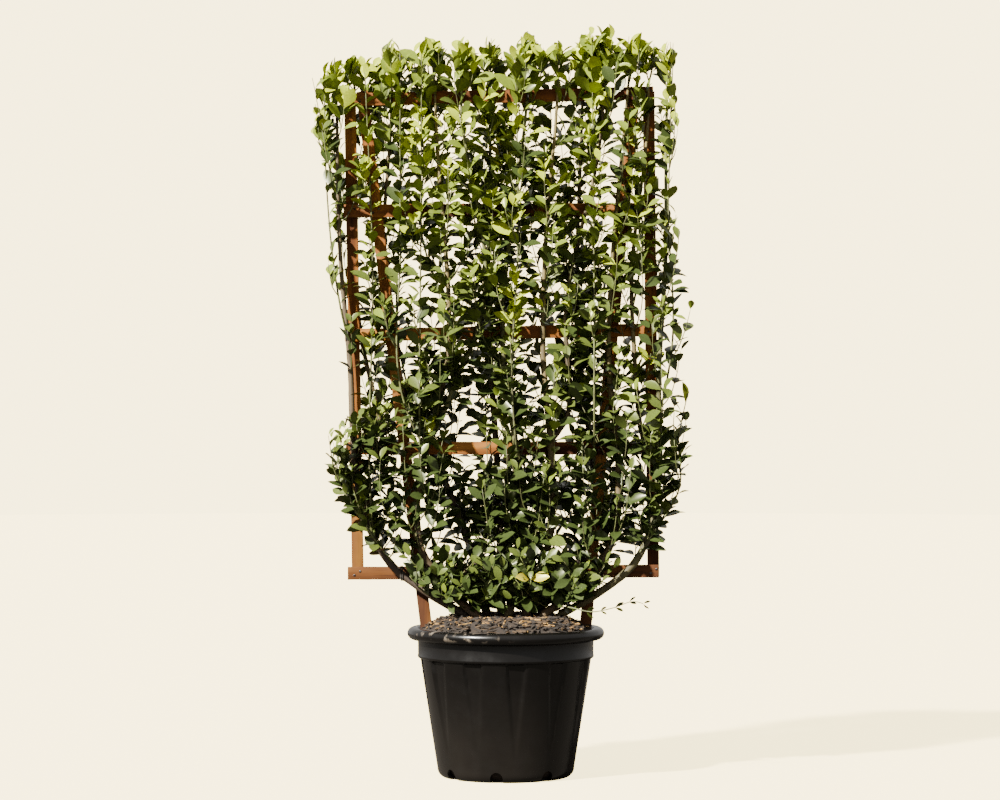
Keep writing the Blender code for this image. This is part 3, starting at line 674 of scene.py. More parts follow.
def make_pot():
    bm = spun(pot_profile(), POT_SEGMENTS)
    for vert in bm.verts:
        x, y, z = vert.co
        radius = math.hypot(x, y)
        if radius > body_radius(min(z, COLLAR_FOOT)) - 2 * WALL:
            share = 1 - flute_press(math.atan2(y, x), z) / radius
            vert.co = (x * share, y * share, z)
    pot = add_piece("pot_moulding", bm, plastic_finish(), "pot_plastic", "pot")
    cut_notches(pot)
    pot.data.set_sharp_from_angle(angle=math.radians(38))


def cut_notches(pot):
    """The arched drain notches round the foot."""
    radius = NOTCH_WIDTH / 2
    outline = [(-radius, -WALL), (radius, -WALL)]
    outline += arc((0, NOTCH_HEIGHT - radius), (radius, radius), 0, math.pi, NOTCH_STEPS)
    bm = bmesh.new()
    for notch in range(NOTCHES):
        angle = NOTCH_TURN + notch * 2 * math.pi / NOTCHES - math.pi / 2
        out = Vector((math.cos(angle), math.sin(angle), 0))
        across = Vector((-math.sin(angle), math.cos(angle), 0))
        near = [out * (FOOT_RADIUS - WALL) + across * s + Vector((0, 0, z)) for s, z in outline]
        closed_tube(bm, [near, [point + out * (RIM_RADIUS - FOOT_RADIUS) for point in near]])
    cutter = placed("notch_cutter", as_mesh("notch_cutter", bm))
    modifier = pot.modifiers.new("notches", "BOOLEAN")
    modifier.operation = "DIFFERENCE"
    modifier.solver = "EXACT"
    modifier.object = cutter
    graph = bpy.context.evaluated_depsgraph_get()
    cut = bpy.data.meshes.new_from_object(pot.evaluated_get(graph))
    pot.modifiers.clear()
    pot.data = cut
    bpy.data.objects.remove(cutter)


# Mulch


def soil_height(radius):
    """The mulch's height at a distance from the middle: flat, then falling to the wall."""
    middle = (SOIL_RADIUS + SOIL_FLAT_RADIUS) / 2
    shoulder = (SOIL_EDGE + SOIL_TOP) / 2 + SOIL_SHOULDER
    return np.interp(radius, (SOIL_FLAT_RADIUS, middle, SOIL_RADIUS), (SOIL_TOP, shoulder, SOIL_EDGE))


def make_mulch():
    """The root ball: a rough mound above, plain inside the pot."""
    foot = WALL + GAP
    rows = [
        (0, foot), (FOOT_RADIUS - 2 * WALL, foot), (BODY_FOOT_RADIUS - 2 * WALL, FOOT_ROUND),
        (body_radius(COLLAR_FOOT) - WALL - FLUTE_DEPTH - SOIL_CLEARANCE, COLLAR_FOOT - WALL),
        (SOIL_RADIUS - SOIL_CLEARANCE, COLLAR_FOOT + 2 * WALL), (SOIL_RADIUS, SOIL_EDGE),
    ]
    for step in range(1, MOUND_STEPS):
        radius = SOIL_RADIUS * (1 - step / MOUND_STEPS)
        rows.append((radius, soil_height(radius)))
    bm = spun(rows + [(0, SOIL_TOP), rows[0]], MOUND_SEGMENTS)
    for vert in bm.verts:
        if vert.co.z > SOIL_EDGE + MOUND_SINK:
            lumps = sum(noise.noise(vert.co * scale) * depth for scale, depth in MOUND_LUMPS)
            vert.co.z += lumps - MOUND_SINK
    peat = mottled_finish("mulch", (0.005, 0.003, 0.0015), (0.020, 0.011, 0.005), 130, 0.95, 0.002)
    add_piece("mulch", bm, peat, "mulch", "soil")


# How many chips of each kind, and their darkest and lightest colours
CHIPS = {
    "chips_dark": (620, (0.004, 0.0025, 0.001), (0.016, 0.009, 0.004)),
    "chips_tan": (460, (0.020, 0.011, 0.004), (0.055, 0.030, 0.010)),
    "chips_bright": (170, (0.110, 0.048, 0.010), (0.300, 0.180, 0.050)),
}

# A chip's corners as (along, across, up), in half sizes, and its faces
CHIP_CORNERS = (
    (-1, -1, -1), (1, -0.6, -1), (1, 0.7, -1), (-0.9, 1, -1),
    (-0.9, -0.9, 1), (0.85, -0.7, 1), (1, 0.6, 1), (-1, 0.8, 1),
)
CHIP_FACES = ((3, 2, 1, 0), (4, 5, 6, 7), (0, 1, 5, 4), (1, 2, 6, 5), (2, 3, 7, 6), (3, 0, 4, 7))


def make_chips(name, count, dark, light):
    """Bark and wood chips strewn over the mound, as one mesh."""
    rng = random.Random(f"{name} {SEED}")
    points, faces = [], []
    for _ in range(count):
        radius = (SOIL_RADIUS - CHIP_MARGIN) * math.sqrt(rng.random())
        angle = rng.uniform(0, 2 * math.pi)
        turn, slant = angle * CHIP_TURNS, rng.uniform(-CHIP_SLANT, CHIP_SLANT)
        heading = Vector((math.cos(turn), math.sin(turn), slant)).normalized()
        roll = Vector((rng.uniform(-CHIP_ROLL, CHIP_ROLL), rng.uniform(-CHIP_ROLL, CHIP_ROLL), 1))
        across = heading.cross(roll).normalized()
        up = across.cross(heading)
        height = soil_height(radius) + CHIP_LIFT
        middle = Vector((radius * math.cos(angle), radius * math.sin(angle), height))
        long, wide, thick = (rng.uniform(*sizes) for sizes in CHIP_HALF_SIZES)
        first = len(points)
        for a, b, c in CHIP_CORNERS:
            points.append(middle + heading * a * long + across * b * wide + up * c * thick)
        faces += [tuple(first + i for i in face) for face in CHIP_FACES]
    material = mottled_finish(name, dark, light, 240, 0.9)
    add_piece(name, (points, faces), material, "mulch").data.shade_flat()


# Trellis


def sawn_length(name, middle, size, tilt, material, replaced):
    """A rough-sawn length of wood: rounded edges, and faces that are not quite flat."""
    bm = bmesh.new()
    bmesh.ops.create_cube(bm, size=1)
    bmesh.ops.scale(bm, verts=bm.verts, vec=size)
    longest = size.index(max(size))
    lengthwise = [e for e in bm.edges if abs((e.verts[0].co - e.verts[1].co)[longest]) > size[longest] / 2]
    bmesh.ops.subdivide_edges(bm, edges=lengthwise, cuts=SAWN_CUTS, use_grid_fill=True)
    sharp = [e for e in bm.edges if len(e.link_faces) == 2 and e.calc_face_angle(0) > math.pi / 4]
    bmesh.ops.bevel(bm, geom=sharp, affect="EDGES", offset=SAWN_EDGE, segments=2, profile=0.5, material=-1)
    shift = Vector((len(name) * 0.37, tilt * 40, middle[2] * 3))    # no two lengths ripple alike
    for vert in bm.verts:
        place = vert.co + shift
        for scale, depth in SAWN_RIPPLES:
            vert.co += depth * Vector(noise.noise_vector(place * scale))
        vert.co.x = min(max(vert.co.x, -size[0] / 2), size[0] / 2)
        vert.co.y = min(max(vert.co.y, -size[1] / 2), size[1] / 2)
    stand = Matrix.Translation(middle) @ Matrix.Rotation(-tilt, 4, "Y")
    bmesh.ops.transform(bm, matrix=stand, verts=bm.verts)
    piece = add_piece(name, bm, material, "trellis_wood", replaced)
    piece.data.set_sharp_from_angle(angle=math.radians(40))


def bar_x(bar, z):
    return bar.x + math.tan(bar.lean) * (z - BOTTOM_SLAT)


def slat_z(slat, x):
    return slat.z + (x - slat.x) * math.tan(slat.tilt)


def make_trellis():
    along_x = wood_finish("slat_wood", (0.10, 1, 1))
    along_z = wood_finish("bar_wood", (1, 1, 0.10))
    for number, slat in enumerate(SLATS, 1):
        size = (SLAT_LENGTH, SLAT_THICKNESS, SLAT_HEIGHT)
        sawn_length(f"sawn_slat_{number}", (slat.x, 0, slat.z), size, slat.tilt, along_x, f"slat_{number}")
    for name, bar in BARS.items():
        middle = (bar.foot + TRELLIS_TOP) / 2
        size = (BAR_WIDTH, BAR_THICKNESS, (TRELLIS_TOP - bar.foot) / math.cos(bar.lean))
        place = (bar_x(bar, middle), BAR_FRONT + BAR_THICKNESS / 2, middle)
        sawn_length(f"sawn_{name}", place, size, -bar.lean, along_z, name)
    make_nails()


def make_nails():
    """Two nail heads where each slat crosses each bar."""
    bm = bmesh.new()
    for slat in SLATS:
        for bar in BARS.values():
            x = bar_x(bar, slat.z)
            z = slat_z(slat, x)
            for turn in (-1, 1):
                spot = (x + turn * NAIL_SPREAD, -SLAT_THICKNESS / 2, z + turn * NAIL_SPREAD * NAIL_SLOPE)
                place = Matrix.Translation(spot) @ Matrix.Diagonal((1, NAIL_FLATNESS, 1, 1))
                bmesh.ops.create_uvsphere(bm, u_segments=12, v_segments=6, radius=NAIL_RADIUS, matrix=place)
    finish = Finish("nail_steel", (0.16, 0.13, 0.11), 0.45)
    finish.set("Metallic", 0.8)
    rust = finish.ramp(finish.noise(300, 3), (0.4, (0.02, 0.012, 0.010)), (0.6, (0.10, 0.09, 0.08)))
    add_piece("nail_heads", bm, finish.done(rust), "trellis_wood")


def squared(value):
    """A sine or cosine, flattened so that the loop it draws is a square with round corners."""
    return math.copysign(abs(value) ** TIE_ROUNDNESS, value)


def make_ties(limbs):
    """Dark twine wound twice round a slat and the limb that it holds."""
    bm = bmesh.new()
    for name, number in TIES:
        slat, limb = SLATS[number], limbs[name]
        spot = point_at(limb.route, slat.z)
        radius = limb.radius_at(slat.z)
        near = min(-SLAT_THICKNESS / 2, spot.y - radius) - TIE_RADIUS
        far = max(SLAT_THICKNESS / 2, spot.y + radius) + TIE_RADIUS
        middle = slat_z(slat, spot.x)
        turns = []
        for n in range(2 * TIE_STEPS + 1):
            turn = 2 * math.pi * n / TIE_STEPS
            turns.append(Vector((
                spot.x + (n / TIE_STEPS - 1) * TIE_PITCH * TIE_RADIUS,
                (near + far) / 2 + (far - near) / 2 * squared(math.cos(turn)),
                middle + (SLAT_HEIGHT / 2 + TIE_RADIUS) * squared(math.sin(turn)),
            )))
        closed_tube(bm, tube_rings(turns, [TIE_RADIUS] * len(turns), 6))
    twine = mottled_finish("twine", (0.010, 0.008, 0.006), (0.035, 0.028, 0.020), 400, 0.8)
    add_piece("ties", bm, twine, "stem_bark")


# Stems and boughs


def walk(spans, way):
    """The span that a distance along them all falls in, and how far into it."""
    n = 0
    while n < len(spans) - 1 and way > spans[n]:
        way -= spans[n]
        n += 1
    return n, way


def curve_through(points, count):
    """Points at even steps on a smooth curve through the given ones."""
    spans = [(b - a).length for a, b in zip(points, points[1:])]
    chords = [(b - a) / span for a, b, span in zip(points, points[1:], spans)]
    slopes = [chords[0]]
    for (before, after), (into, out) in zip(zip(spans, spans[1:]), zip(chords, chords[1:])):
        slopes.append((into * after + out * before) / (before + after))
    slopes.append(chords[-1])
    route = []
    for i in range(count):
        n, way = walk(spans, sum(spans) * i / (count - 1))
        t = min(way / spans[n], 1)
        place = points[n].lerp(points[n + 1], t * t * (3 - 2 * t))
        bend = slopes[n] * (t * (1 - t) ** 2) - slopes[n + 1] * (t * t * (1 - t))
        route.append(place + bend * spans[n])
    return route


def tube_rings(route, radii, sides):
    """Rings square to a route, turned as little as possible from each to the next."""
    side = Vector((1, 0, 0))
    rings = []
    last = len(route) - 1
    for i, (centre, radius) in enumerate(zip(route, radii)):
        along = (route[min(i + 1, last)] - route[max(i - 1, 0)]).normalized()
        if abs(along.dot(side)) > NEARLY_PARALLEL:
            side = Vector((0, 1, 0))
        side = (side - along * side.dot(along)).normalized()
        across = along.cross(side)
        turns = [2 * math.pi * k / sides for k in range(sides)]
        rings.append([centre + radius * (math.cos(a) * side + math.sin(a) * across) for a in turns])
    return rings


def closed_tube(bm, rings):
    """Adds a tube with capped ends through rings of points."""
    made = [[bm.verts.new(point) for point in ring] for ring in rings]
    count = len(made[0])
    for low, high in zip(made, made[1:]):
        for k in range(count):
            after = (k + 1) % count
            bm.faces.new((low[k], low[after], high[after], high[k]))
    bm.faces.new(reversed(made[0]))
    bm.faces.new(made[-1])


def limb_radius(z, foot_z, foot_radius):
    share = (z - foot_z) / (STEM_TOP - foot_z)
    return foot_radius + share * (STEM_TIP_RADIUS - foot_radius)


def lane(front, z, taper):
    """The y of a limb's middle line where it climbs before the slats or behind the bars."""
    radius = limb_radius(z, *taper)
    if front:
        return -(SLAT_THICKNESS / 2 + SLAT_CLEARANCE + radius)
    return BAR_FRONT + BAR_THICKNESS + SLAT_CLEARANCE + radius


class Limb(NamedTuple):
    """A stem's or bough's middle line, and the height and radius that its taper starts from."""

    route: list
    foot_z: float
    foot_radius: float

    def radius_at(self, z):
        return limb_radius(max(z, self.foot_z), self.foot_z, self.foot_radius)


def climb(name, front, points, crossings, taper, foot_y, ease):
    """A limb through its first points and up the trellis, eased into its lane before or behind it."""
    for z, x in crossings:
        points.append(Vector((x, lane(front, z, taper), z)))
    route = curve_through(points, STEM_RINGS)
    for point in route:
        point.y = foot_y + smooth_step(point.z, *ease) * (lane(front, point.z, taper) - foot_y)
    return Limb(waved(name, route), *taper)


def stem_limb(name, stem):
    """A stem rises from its foot, swings out to the trellis and climbs it."""
    top_x = stem.high + (stem.high - stem.middle) * (STEM_TOP - TOP_SLAT) / (TOP_SLAT - MIDDLE_SLAT)
    heights = (BOTTOM_SLAT, MIDDLE_SLAT, TOP_SLAT, STEM_TOP)
    crossings = zip(heights, (stem.low, stem.middle, stem.high, top_x))
    points = [Vector((*stem.foot, SOIL_TOP + GAP))]
    ease = (SOIL_TOP, BOTTOM_SLAT - SLAT_HEIGHT)
    return climb(name, stem.front, points, crossings, (SOIL_TOP, STEM_FOOT_RADIUS), stem.foot[1], ease)


def bough_limb(name, bough, parent_route):
    """A bough leaves its stem at an elbow and climbs beside it."""
    fork = point_at(parent_route, bough.fork)
    swing = abs(bough.elbow)
    taper = (bough.fork, BOUGH_FOOT_RADIUS)
    y = lane(bough.front, bough.fork + swing, taper)
    elbow = Vector((fork.x + bough.elbow, (fork.y + y) / 2, fork.z + swing))
    clear = Vector((fork.x + BOUGH_SWING * bough.elbow, y, fork.z + BOUGH_CLIMB * swing))
    crossings = ((MIDDLE_SLAT, bough.middle), (TOP_SLAT, bough.high), (STEM_TOP, bough.high))
    ease = (fork.z, fork.z + BOUGH_EASE * swing)
    return climb(name, bough.front, [fork, elbow, clear], crossings, taper, fork.y, ease)


def waved(name, route):
    """A slight sideways wave, none at the two ends."""
    phase = random.Random(name).uniform(0, 2 * math.pi)
    last = len(route) - 1
    for i, point in enumerate(route):
        fade = math.sin(math.pi * i / last)
        point.x += STEM_WAVE * fade * math.sin(phase + STEM_WAVE_TURN * i / last)
    return route


def point_at(route, z):
    """Where a rising route passes a height."""
    for low, high in zip(route, route[1:]):
        if low.z <= z <= high.z:
            return low.lerp(high, (z - low.z) / (high.z - low.z))
    return route[-1].copy()


def lay_out_limbs():
    limbs = {name: stem_limb(name, stem) for name, stem in STEMS.items()}
    for name, bough in BOUGHS.items():
        limbs[name] = bough_limb(name, bough, limbs[bough.parent].route)
    return limbs


def make_limb(name, limb, material):
    """A limb with swollen leaf scars up it and ridged bark. A stem's foot flares into the mulch."""
    fine = curve_through(limb.route, FINE_RINGS)
    radii = []
    way = 0.0
    for before, point in zip(fine[:1] + fine, fine):
        way += (point - before).length
        scar = max(0.0, 1 - abs((way % SCAR_SPACING) - SCAR_SPACING / 2) / SCAR_HALF_WIDTH)
        radius = limb.radius_at(point.z) * (1 + SCAR_SWELL * scar)
        if name in STEMS:
            radius *= 1 + (ROOT_FLARE - 1) * math.exp(-way / FLARE_HEIGHT)
        radii.append(radius)
    rings = tube_rings(fine, radii, FINE_SIDES)
    for centre, ring in zip(fine, rings):
        for k, point in enumerate(ring):
            ridge = noise.noise(point * RIDGE_SCALE)
            ring[k] = centre + (point - centre) * (1 + RIDGE_DEPTH * ridge)
    if name in STEMS:
        for point in rings[0]:
            point.z = SOIL_TOP - FOOT_SINK
    bm = bmesh.new()
    closed_tube(bm, rings)
    add_piece(f"bark_{name}", bm, material, "stem_bark", name)


# Foliage


def edge_at(edge, z):
    """The x of the crown's edge at a height."""
    heights, across = zip(*edge)
    return np.interp(z, heights, across)


def crown_top(x):
    """The crown's jagged top: a peak over each stem, and dips between."""
    peaks = [(limb.high, limb.reach) for limb in LIMBS.values()]
    peaks += [(young.x + young.lean, young.reach) for young in YOUNG_STEMS]
    return max(reach - TIP_SLOPE * max(abs(x - middle) - TIP_HALF_WIDTH, 0) for middle, reach in peaks)


def in_crown(point):
    """True inside the crown's outline, its depth and the solids' box."""
    low, high = cad_box
    top = high[2] - TOP_MARGIN
    if point.z > JAGGED_FROM:
        top = min(top, crown_top(point.x))
    return (
        edge_at(LEFT_EDGE, point.z) <= point.x <= edge_at(RIGHT_EDGE, point.z)
        and abs(point.y) <= CROWN_DEPTH
        and CROWN_FLOOR <= point.z <= top
        and low[0] + SIDE_MARGIN <= point.x <= high[0] - SIDE_MARGIN
    )


def in_wood(point, margin):
    """True inside a slat or a bar, with a margin round it."""
    if abs(point.y) < SLAT_THICKNESS / 2 + margin:
        for slat in SLATS:
            above = abs(point.z - slat_z(slat, point.x))
            if above < SLAT_HEIGHT / 2 + margin and abs(point.x - slat.x) < SLAT_LENGTH / 2 + margin:
                return True
    if BAR_FRONT - margin < point.y < BAR_FRONT + BAR_THICKNESS + margin:
        for bar in BARS.values():
            aside = abs(point.x - bar_x(bar, point.z))
            if aside < BAR_WIDTH / 2 + margin and bar.foot < point.z < TRELLIS_TOP + margin:
                return True
    return False


class Foliage:
    """All twigs and leaves so far, the leaves kept by kind."""

    def __init__(self):
        self.leaves = {kind: [] for kind in LEAF_COLOURS}
        self.twigs = []

    def twig(self, route, radius):
        last = len(route) - 1
        radii = [radius * (1 - SHOOT_TAPER * i / last) for i in range(last + 1)]
        self.twigs.append(tube_rings(route, radii, SHOOT_SIDES))

    def leaf(self, kind, root, along, normal, length, width, curl, fold):
        """Adds a leaf if it keeps to the crown and clear of the wood."""
        tip = root + along * length - normal * curl * length
        middle = root + along * length * LEAF_MIDDLE
        if all(in_crown(place) and not in_wood(place, LEAF_CLEARANCE) for place in (tip, middle)):
            self.leaves[kind].append((root, along, normal, length, width, curl, fold))


KINDS = ("leaves_deep", "leaves_mature", "leaves_bright", "leaves_young")
YELLOW_SHARE = 0.004
KIND_HEIGHTS = (0.35, 1.36)
KIND_RISE = 2.3
KIND_POWER = 0.95
KIND_SPREAD = 0.75


def spray_kind(rng, z):
    """A spray's colour: deep and mature low down, bright and young at the top."""
    if rng.random() < YELLOW_SHARE:
        return "leaves_yellow"
    value = KIND_RISE * smooth_step(z, *KIND_HEIGHTS) ** KIND_POWER + rng.gauss(0, KIND_SPREAD)
    return KINDS[min(max(int(value), 0), len(KINDS) - 1)]


def one_up(kind):
    """The next fresher colour, which a shoot's newest leaves have."""
    if kind not in KINDS:
        return kind
    return KINDS[min(KINDS.index(kind) + 1, len(KINDS) - 1)]


def jitter(rng, spread):
    return Vector([rng.uniform(-spread, spread) for _ in range(3)])


def any_side(rng):
    return Vector((rng.uniform(-1, 1), rng.uniform(-1, 1), 0)).normalized()


def leaf_pair(foliage, rng, root, heading, side, kind, size, lean):
    """Two opposite leaves, their upper faces turned to the light."""
    for out in (side, -side):
        angle = lean + rng.uniform(-LEAN_SPREAD, LEAN_SPREAD)
        along = (heading * math.cos(angle) + out * math.sin(angle)).normalized()
        along = (along + jitter(rng, LEAF_WANDER)).normalized()
        normal = heading * LEAF_UPRIGHT + TOWARDS_LIGHT * rng.uniform(*LEAF_TO_LIGHT)
        normal += side.cross(heading) * rng.uniform(-LEAF_ROLL, LEAF_ROLL)
        normal = (normal - along * normal.dot(along)).normalized()
        length = size * rng.uniform(*LEAF_SHARE)
        width = length * rng.uniform(*LEAF_WIDTH)
        curl, fold = rng.uniform(*LEAF_CURL), rng.uniform(*LEAF_FOLD)
        foliage.leaf(kind, root, along, normal, length, width, curl, fold)


def dress_twig(foliage, rng, route, kind, high, spacing=LEAF_PAIR_SPACING):
    """Opposite pairs down from a twig's tip, each a quarter turn from the last, the first two smaller."""
    lengths = [(b - a).length for a, b in zip(route, route[1:])]
    total = sum(lengths)
    turn = rng.uniform(0, math.pi)
    for n in range(max(int(total / spacing), 1) + 1):
        way = total - (n + rng.uniform(-LEAF_PAIR_WANDER, LEAF_PAIR_WANDER)) * spacing if n else total
        if way < BARE_STALK:
            break
        step, left = walk(lengths, way)
        heading = (route[step + 1] - route[step]).normalized()
        root = route[step] + heading * left
        level = (Vector((0, 1, 0)) - heading * heading.y).normalized()
        angle = turn + n * math.pi / 2
        side = math.cos(angle) * heading.cross(level) + math.sin(angle) * level
        size = rng.uniform(*(TOP_LEAF_LENGTH if high else LEAF_LENGTH)) * TIP_SIZES[min(n, 2)]
        lean = rng.uniform(*(TOP_LEAF_LEAN if high else LEAF_LEAN)) * TIP_LEANS[min(n, 2)]
        fresh = n < (2 if root.z > FULL_BELOW else 1)
        leaf_pair(foliage, rng, root, heading, side, one_up(kind) if fresh else kind, size, lean)


def grow_shoot(foliage, rng, root, out, length, forked=False):
    """A shoot leaves its limb at a slant, turns upwards and bears leaves and sometimes a smaller shoot."""
    rise, lift = rng.uniform(*SHOOT_RISE), SHOOT_LIFT
    if root.z < SKIRT_TOP:
        rise, lift = rise * SKIRT_RISE, SKIRT_LIFT
    heading = (out + Vector((0, 0, rise))).normalized()
    route = [root]
    for _ in range(SHOOT_STEPS):
        wander = jitter(rng, SHOOT_WANDER)
        heading = (heading + Vector((0, 0, lift)) + wander).normalized()
        step = route[-1] + heading * length / SHOOT_STEPS
        if not in_crown(step) or in_wood(step, SHOOT_CLEARANCE):
            break
        route.append(step)
    if len(route) < 3:
        return
    foliage.twig(route, SHOOT_RADIUS * (FORK_RADIUS if forked else 1))
    dress_twig(foliage, rng, route, spray_kind(rng, root.z), root.z > HIGH_CROWN)
    if not forked and len(route) > 4 and rng.random() < FORK_CHANCE:
        side = any_side(rng)
        grow_shoot(foliage, rng, route[2], side, length * rng.uniform(*FORK_LENGTH), True)


def vigour(point):
    """Full low down and high up, thinner between and at the sides."""
    return next(share for left, right, top, share in VIGOUR if left < point.x < right and point.z < top)


def clothe_limb(foliage, name, limb):
    """Side shoots in opposite pairs all the way up a limb, four at a node low down, and a leader on top."""
    rng = random.Random(f"{name} {SEED}")
    fine = curve_through(limb.route, FINE_RINGS)
    turn = rng.uniform(0, math.pi)
    way = rng.uniform(0, NODE_SPACING)
    start = max(FIRST_SHOOT, limb.foot_z + BARE_FOOT)
    for before, point in zip(fine, fine[1:]):
        way += (point - before).length
        if way < (LOW_NODE_SPACING if point.z < LOW_CROWN else NODE_SPACING) or point.z < start:
            continue
        way = 0
        turn += math.pi / 2 + rng.uniform(-NODE_TWIST, NODE_TWIST)
        shoots, share = (4, SKIRT_LENGTH) if point.z < SKIRT_TOP else (2, 1)
        for n in range(shoots):
            if rng.random() > vigour(point):
                continue
            angle = turn + 2 * math.pi * n / shoots
            out = Vector((math.cos(angle), math.sin(angle), 0))
            root = point + out * limb.radius_at(point.z) * SHOOT_ROOT
            grow_shoot(foliage, rng, root, out, rng.uniform(*SHOOT_LENGTH) * share)
    grow_leader(foliage, rng, LIMBS[name].reach, limb.route[-1])


def grow_leader(foliage, rng, reach, foot):
    """The leafy tip above the top slat, with a few upright side shoots."""
    top = Vector((foot.x * LEADER_FAN, foot.y * LEADER_INWARD, reach - LEADER_TOP_LEAF))
    middle = foot.lerp(top, 0.5) + Vector((rng.uniform(-LEADER_WAVE, LEADER_WAVE), 0, 0))
    route = curve_through([foot, middle, top], SHOOT_STEPS)
    foliage.twig(route, STEM_TIP_RADIUS)
    dress_twig(foliage, rng, route, "leaves_bright" if rng.random() < 0.5 else "leaves_young", True)
    for _ in range(LEADER_SHOOTS):
        x, y = rng.uniform(-1, 1), rng.uniform(-1, 1) * LEADER_SHOOT_DEPTH
        root = foot.lerp(top, rng.uniform(*LEADER_SHOOT_ROOTS))
        out = Vector((x, y, LEADER_SHOOT_RISE)).normalized()
        grow_shoot(foliage, rng, root, out, rng.uniform(*LEADER_SHOOT_LENGTH))


def grow_young(foliage, rng, young, parent_route):
    """A young stem in opposite pairs of leaves all the way up, with a few side shoots."""
    fork = point_at(parent_route, young.fork)
    clear = Vector((young.x, young.depth, young.fork + YOUNG_SLANT * abs(young.x - fork.x) + YOUNG_CLEAR))
    top = Vector((young.x + young.lean, young.depth * YOUNG_INWARD, young.reach - YOUNG_TOP_LEAF))
    wave = Vector([rng.uniform(-spread, spread) for spread in YOUNG_WAVE] + [0])
    middle = clear.lerp(top, 0.5) + wave
    elbow = fork.lerp(clear, YOUNG_ELBOW) + Vector((0, young.depth * YOUNG_ELBOW_DEPTH, -YOUNG_SAG))
    route = curve_through([fork, elbow, clear, middle, top], YOUNG_STEPS)
    foliage.twig(route, YOUNG_RADIUS)
    for start in range(YOUNG_STRETCH // 2, len(route) - YOUNG_STRETCH, YOUNG_STRETCH):
        stretch = route[start:start + YOUNG_STRETCH + 1]
        height = stretch[YOUNG_STRETCH // 2].z
        dress_twig(foliage, rng, stretch, spray_kind(rng, height), height > HIGH_CROWN, YOUNG_PAIR_SPACING)
        out = any_side(rng)
        grow_shoot(foliage, rng, stretch[3], out, rng.uniform(*YOUNG_SHOOT_LENGTH))
    dress_twig(foliage, rng, route[-YOUNG_STRETCH:], "leaves_bright", True)


def grow_trailer(foliage, rng, foot):
    """The thin twig that arches out over the pot's rim at the right, with a few small leaves."""
    route = curve_through([foot] + [Vector(point) for point in TRAILER], TRAILER_STEPS)
    foliage.twig(route, TRAILER_RADIUS)
    wide, curl, fold = TRAILER_LEAF_SHAPE
    for n in range(len(route) - 1, TRAILER_BARE_STEPS, -TRAILER_LEAF_STEPS):
        heading = (route[n] - route[n - 1]).normalized()
        for way in (1, -1):
            tilt = Vector((0, 0, rng.uniform(-TRAILER_LEAF_TILT, TRAILER_LEAF_TILT)))
            along = (heading + way * TRAILER_LEAF_SLANT * TRAILER_LEAF_SIDE + tilt).normalized()
            normal = along.orthogonal().normalized()
            size = rng.uniform(*TRAILER_LEAF)
            foliage.leaves["leaves_mature"].append((route[n], along, normal, size, size * wide, curl, fold))


# A leaf's outline, as (share of its length, share of its half width)
LEAF_STALK = (0.12, 0.10)
LEAF_STATIONS = ((0.32, 0.62), (0.54, 0.97), (0.73, 0.92), (0.90, 0.50))


def leaf_pattern():
    """A leaf's corners as (along, half width, side), left, rib and right at each station, and its faces."""
    rows = [(0, 0, 0), (*LEAF_STALK, -1), (*LEAF_STALK, 1)]
    for along, half in LEAF_STATIONS:
        rows += [(along, half, -1), (along, 0, 0), (along, half, 1)]
    faces = [(0, 2, 1), (1, 2, 4), (1, 4, 3), (2, 5, 4)]
    for n in range(3, len(rows) - 3, 3):
        faces += [(n, n + 1, n + 4), (n, n + 4, n + 3), (n + 1, n + 2, n + 5), (n + 1, n + 5, n + 4)]
    last = len(rows)
    faces += [(last - 3, last - 2, last), (last - 2, last - 1, last)]
    return np.array(rows + [(1, 0, 0)]), np.array(faces)


def make_leaves(kind, leaves, replaced):
    """All leaves of one colour as one mesh, each blade folded along its rib and curled back."""
    root, along, normal, length, width, curl, fold = (np.array(column) for column in zip(*leaves))
    across = np.cross(along, normal)
    rows, pattern = leaf_pattern()
    v, half, side = rows.T
    forward = length[:, None] * v
    sideways = width[:, None] / 2 * half * side
    lift = np.abs(sideways) * fold[:, None] - curl[:, None] * length[:, None] * v ** 2
    points = (
        root[:, None] + along[:, None] * forward[..., None]
        + across[:, None] * sideways[..., None] + normal[:, None] * lift[..., None]
    )
    faces = pattern + len(rows) * np.arange(len(leaves))[:, None, None]
    shape = (points.reshape(-1, 3), faces.reshape(-1, 3).tolist())
    add_piece(kind, shape, leaf_finish(kind, *LEAF_COLOURS[kind]), "leaf_green", *replaced)


def make_twigs(foliage):
    bm = bmesh.new()
    for rings in foliage.twigs:
        closed_tube(bm, rings)
    finish = Finish("twig_bark", (0.10, 0.12, 0.03), 0.6)
    bark = finish.ramp(finish.noise(60, 3), (0.35, (0.050, 0.046, 0.017)), (0.65, (0.110, 0.125, 0.032)))
    add_piece("twigs", bm, finish.done(bark), "stem_bark")


def make_foliage(limbs):
    """Everything green. The mature leaves stand in for the masses and top shoots of the solids."""
    foliage = Foliage()
    for name, limb in limbs.items():
        clothe_limb(foliage, name, limb)
    for young in YOUNG_STEMS:
        rng = random.Random(f"young {young.parent} {young.fork} {SEED}")
        grow_young(foliage, rng, young, limbs[young.parent].route)
    grow_trailer(foliage, random.Random(f"trailer {SEED}"), point_at(limbs["stem_8"].route, TRAILER_FOOT))
    masses = [node for node in frame["nodes"] if node.startswith(("foliage_", "top_shoot_"))]
    for kind, leaves in foliage.leaves.items():
        if leaves:
            make_leaves(kind, leaves, masses if kind == "leaves_mature" else ())
    make_twigs(foliage)


# Studio


def show_and_light(tree, seen, unseen, output):
    """Shows the camera one shader, and lights the part with another."""
    path = new_node(tree, "LightPath", {})
    inputs = {"Fac": path.outputs["Is Camera Ray"], 1: unseen.outputs[0], 2: seen.outputs[0]}
    feed(tree, new_node(tree, "MixShader", inputs).outputs[0], output.inputs["Surface"])


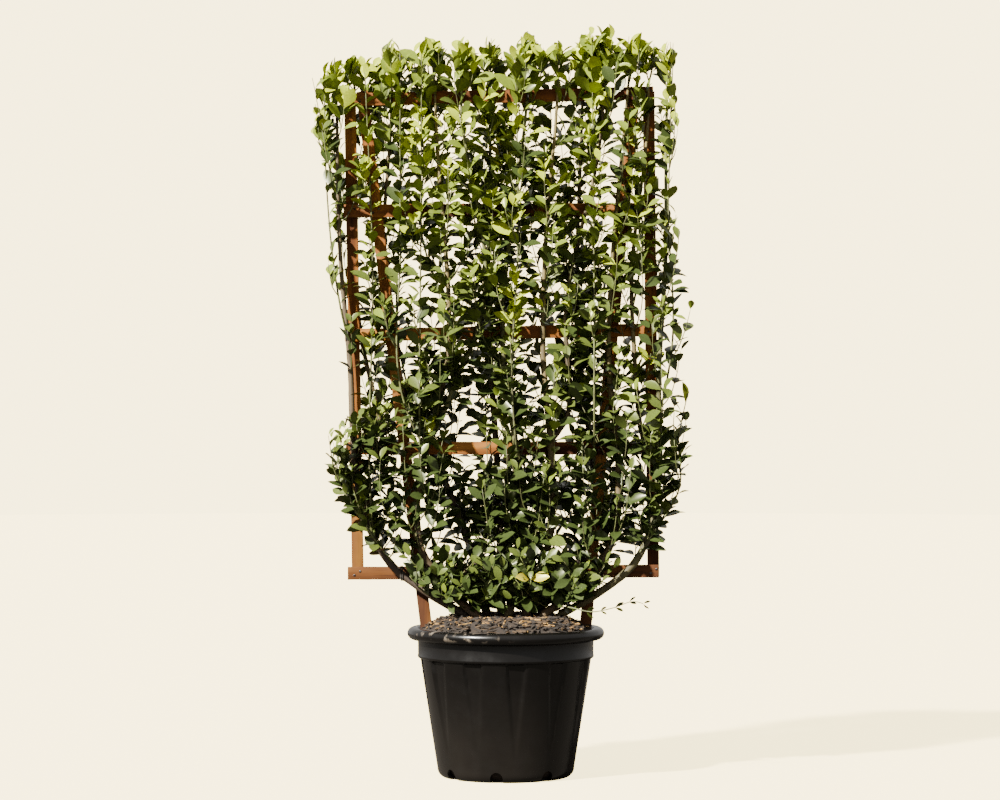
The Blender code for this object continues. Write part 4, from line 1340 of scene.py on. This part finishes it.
def floor_paint():
    """Pale where it is seen, and too dull to throw light up at the part."""
    material = bpy.data.materials.new("floor_paint")
    material.use_nodes = True
    tree = material.node_tree
    tree.nodes.clear()
    pale = new_node(tree, "BsdfDiffuse", {"Color": FLOOR_PALE})
    glow = new_node(tree, "Emission", {"Color": FLOOR_GLOW})
    dull = new_node(tree, "BsdfDiffuse", {"Color": FLOOR_DULL})
    seen = new_node(tree, "AddShader", {0: pale.outputs[0], 1: glow.outputs[0]})
    show_and_light(tree, seen, dull, new_node(tree, "OutputMaterial", {}))
    return material


def make_floor():
    bm = bmesh.new()
    bmesh.ops.create_circle(bm, cap_ends=True, segments=96, radius=FLOOR_RADIUS)
    floor = placed("floor", as_mesh("floor", bm))
    floor.data.materials.append(floor_paint())


def light_studio():
    """A soft sky all round, and a low sun from the front left."""
    world = bpy.data.worlds.new("studio")
    bpy.context.scene.world = world
    world.use_nodes = True
    tree = world.node_tree
    seen = tree.nodes["Background"]
    feed(tree, BACKGROUND, seen.inputs["Color"])
    sky = new_node(tree, "Background", {"Color": SKY_COLOUR, "Strength": SKY_LIGHT})
    show_and_light(tree, seen, sky, tree.nodes["World Output"])
    sun = bpy.data.lights.new("key", "SUN")
    sun.energy = SUN_LIGHT
    sun.angle = SUN_SIZE
    sun.color = SUN_COLOUR
    placed("key", sun).rotation_euler = Vector(SUN_HEADING).to_track_quat("-Z", "Y").to_euler()


def set_camera():
    """Level, straight at the trellis."""
    camera = bpy.data.cameras.new("camera")
    camera.lens = LENS
    eye = placed("camera", camera)
    eye.location = CAMERA_PLACE
    eye.rotation_euler = (math.pi / 2, 0, 0)
    bpy.context.scene.camera = eye


def main():
    clear_studio()
    make_floor()
    light_studio()
    set_camera()
    make_pot()
    make_mulch()
    for name, kind in CHIPS.items():
        make_chips(name, *kind)
    make_trellis()
    limbs = lay_out_limbs()
    barks = {name: bark_finish(f"bark_{name}", *pair) for name, pair in BARKS.items()}
    for name, limb in limbs.items():
        make_limb(name, limb, barks[LIMBS[name].bark])
    make_ties(limbs)
    make_foliage(limbs)


main()
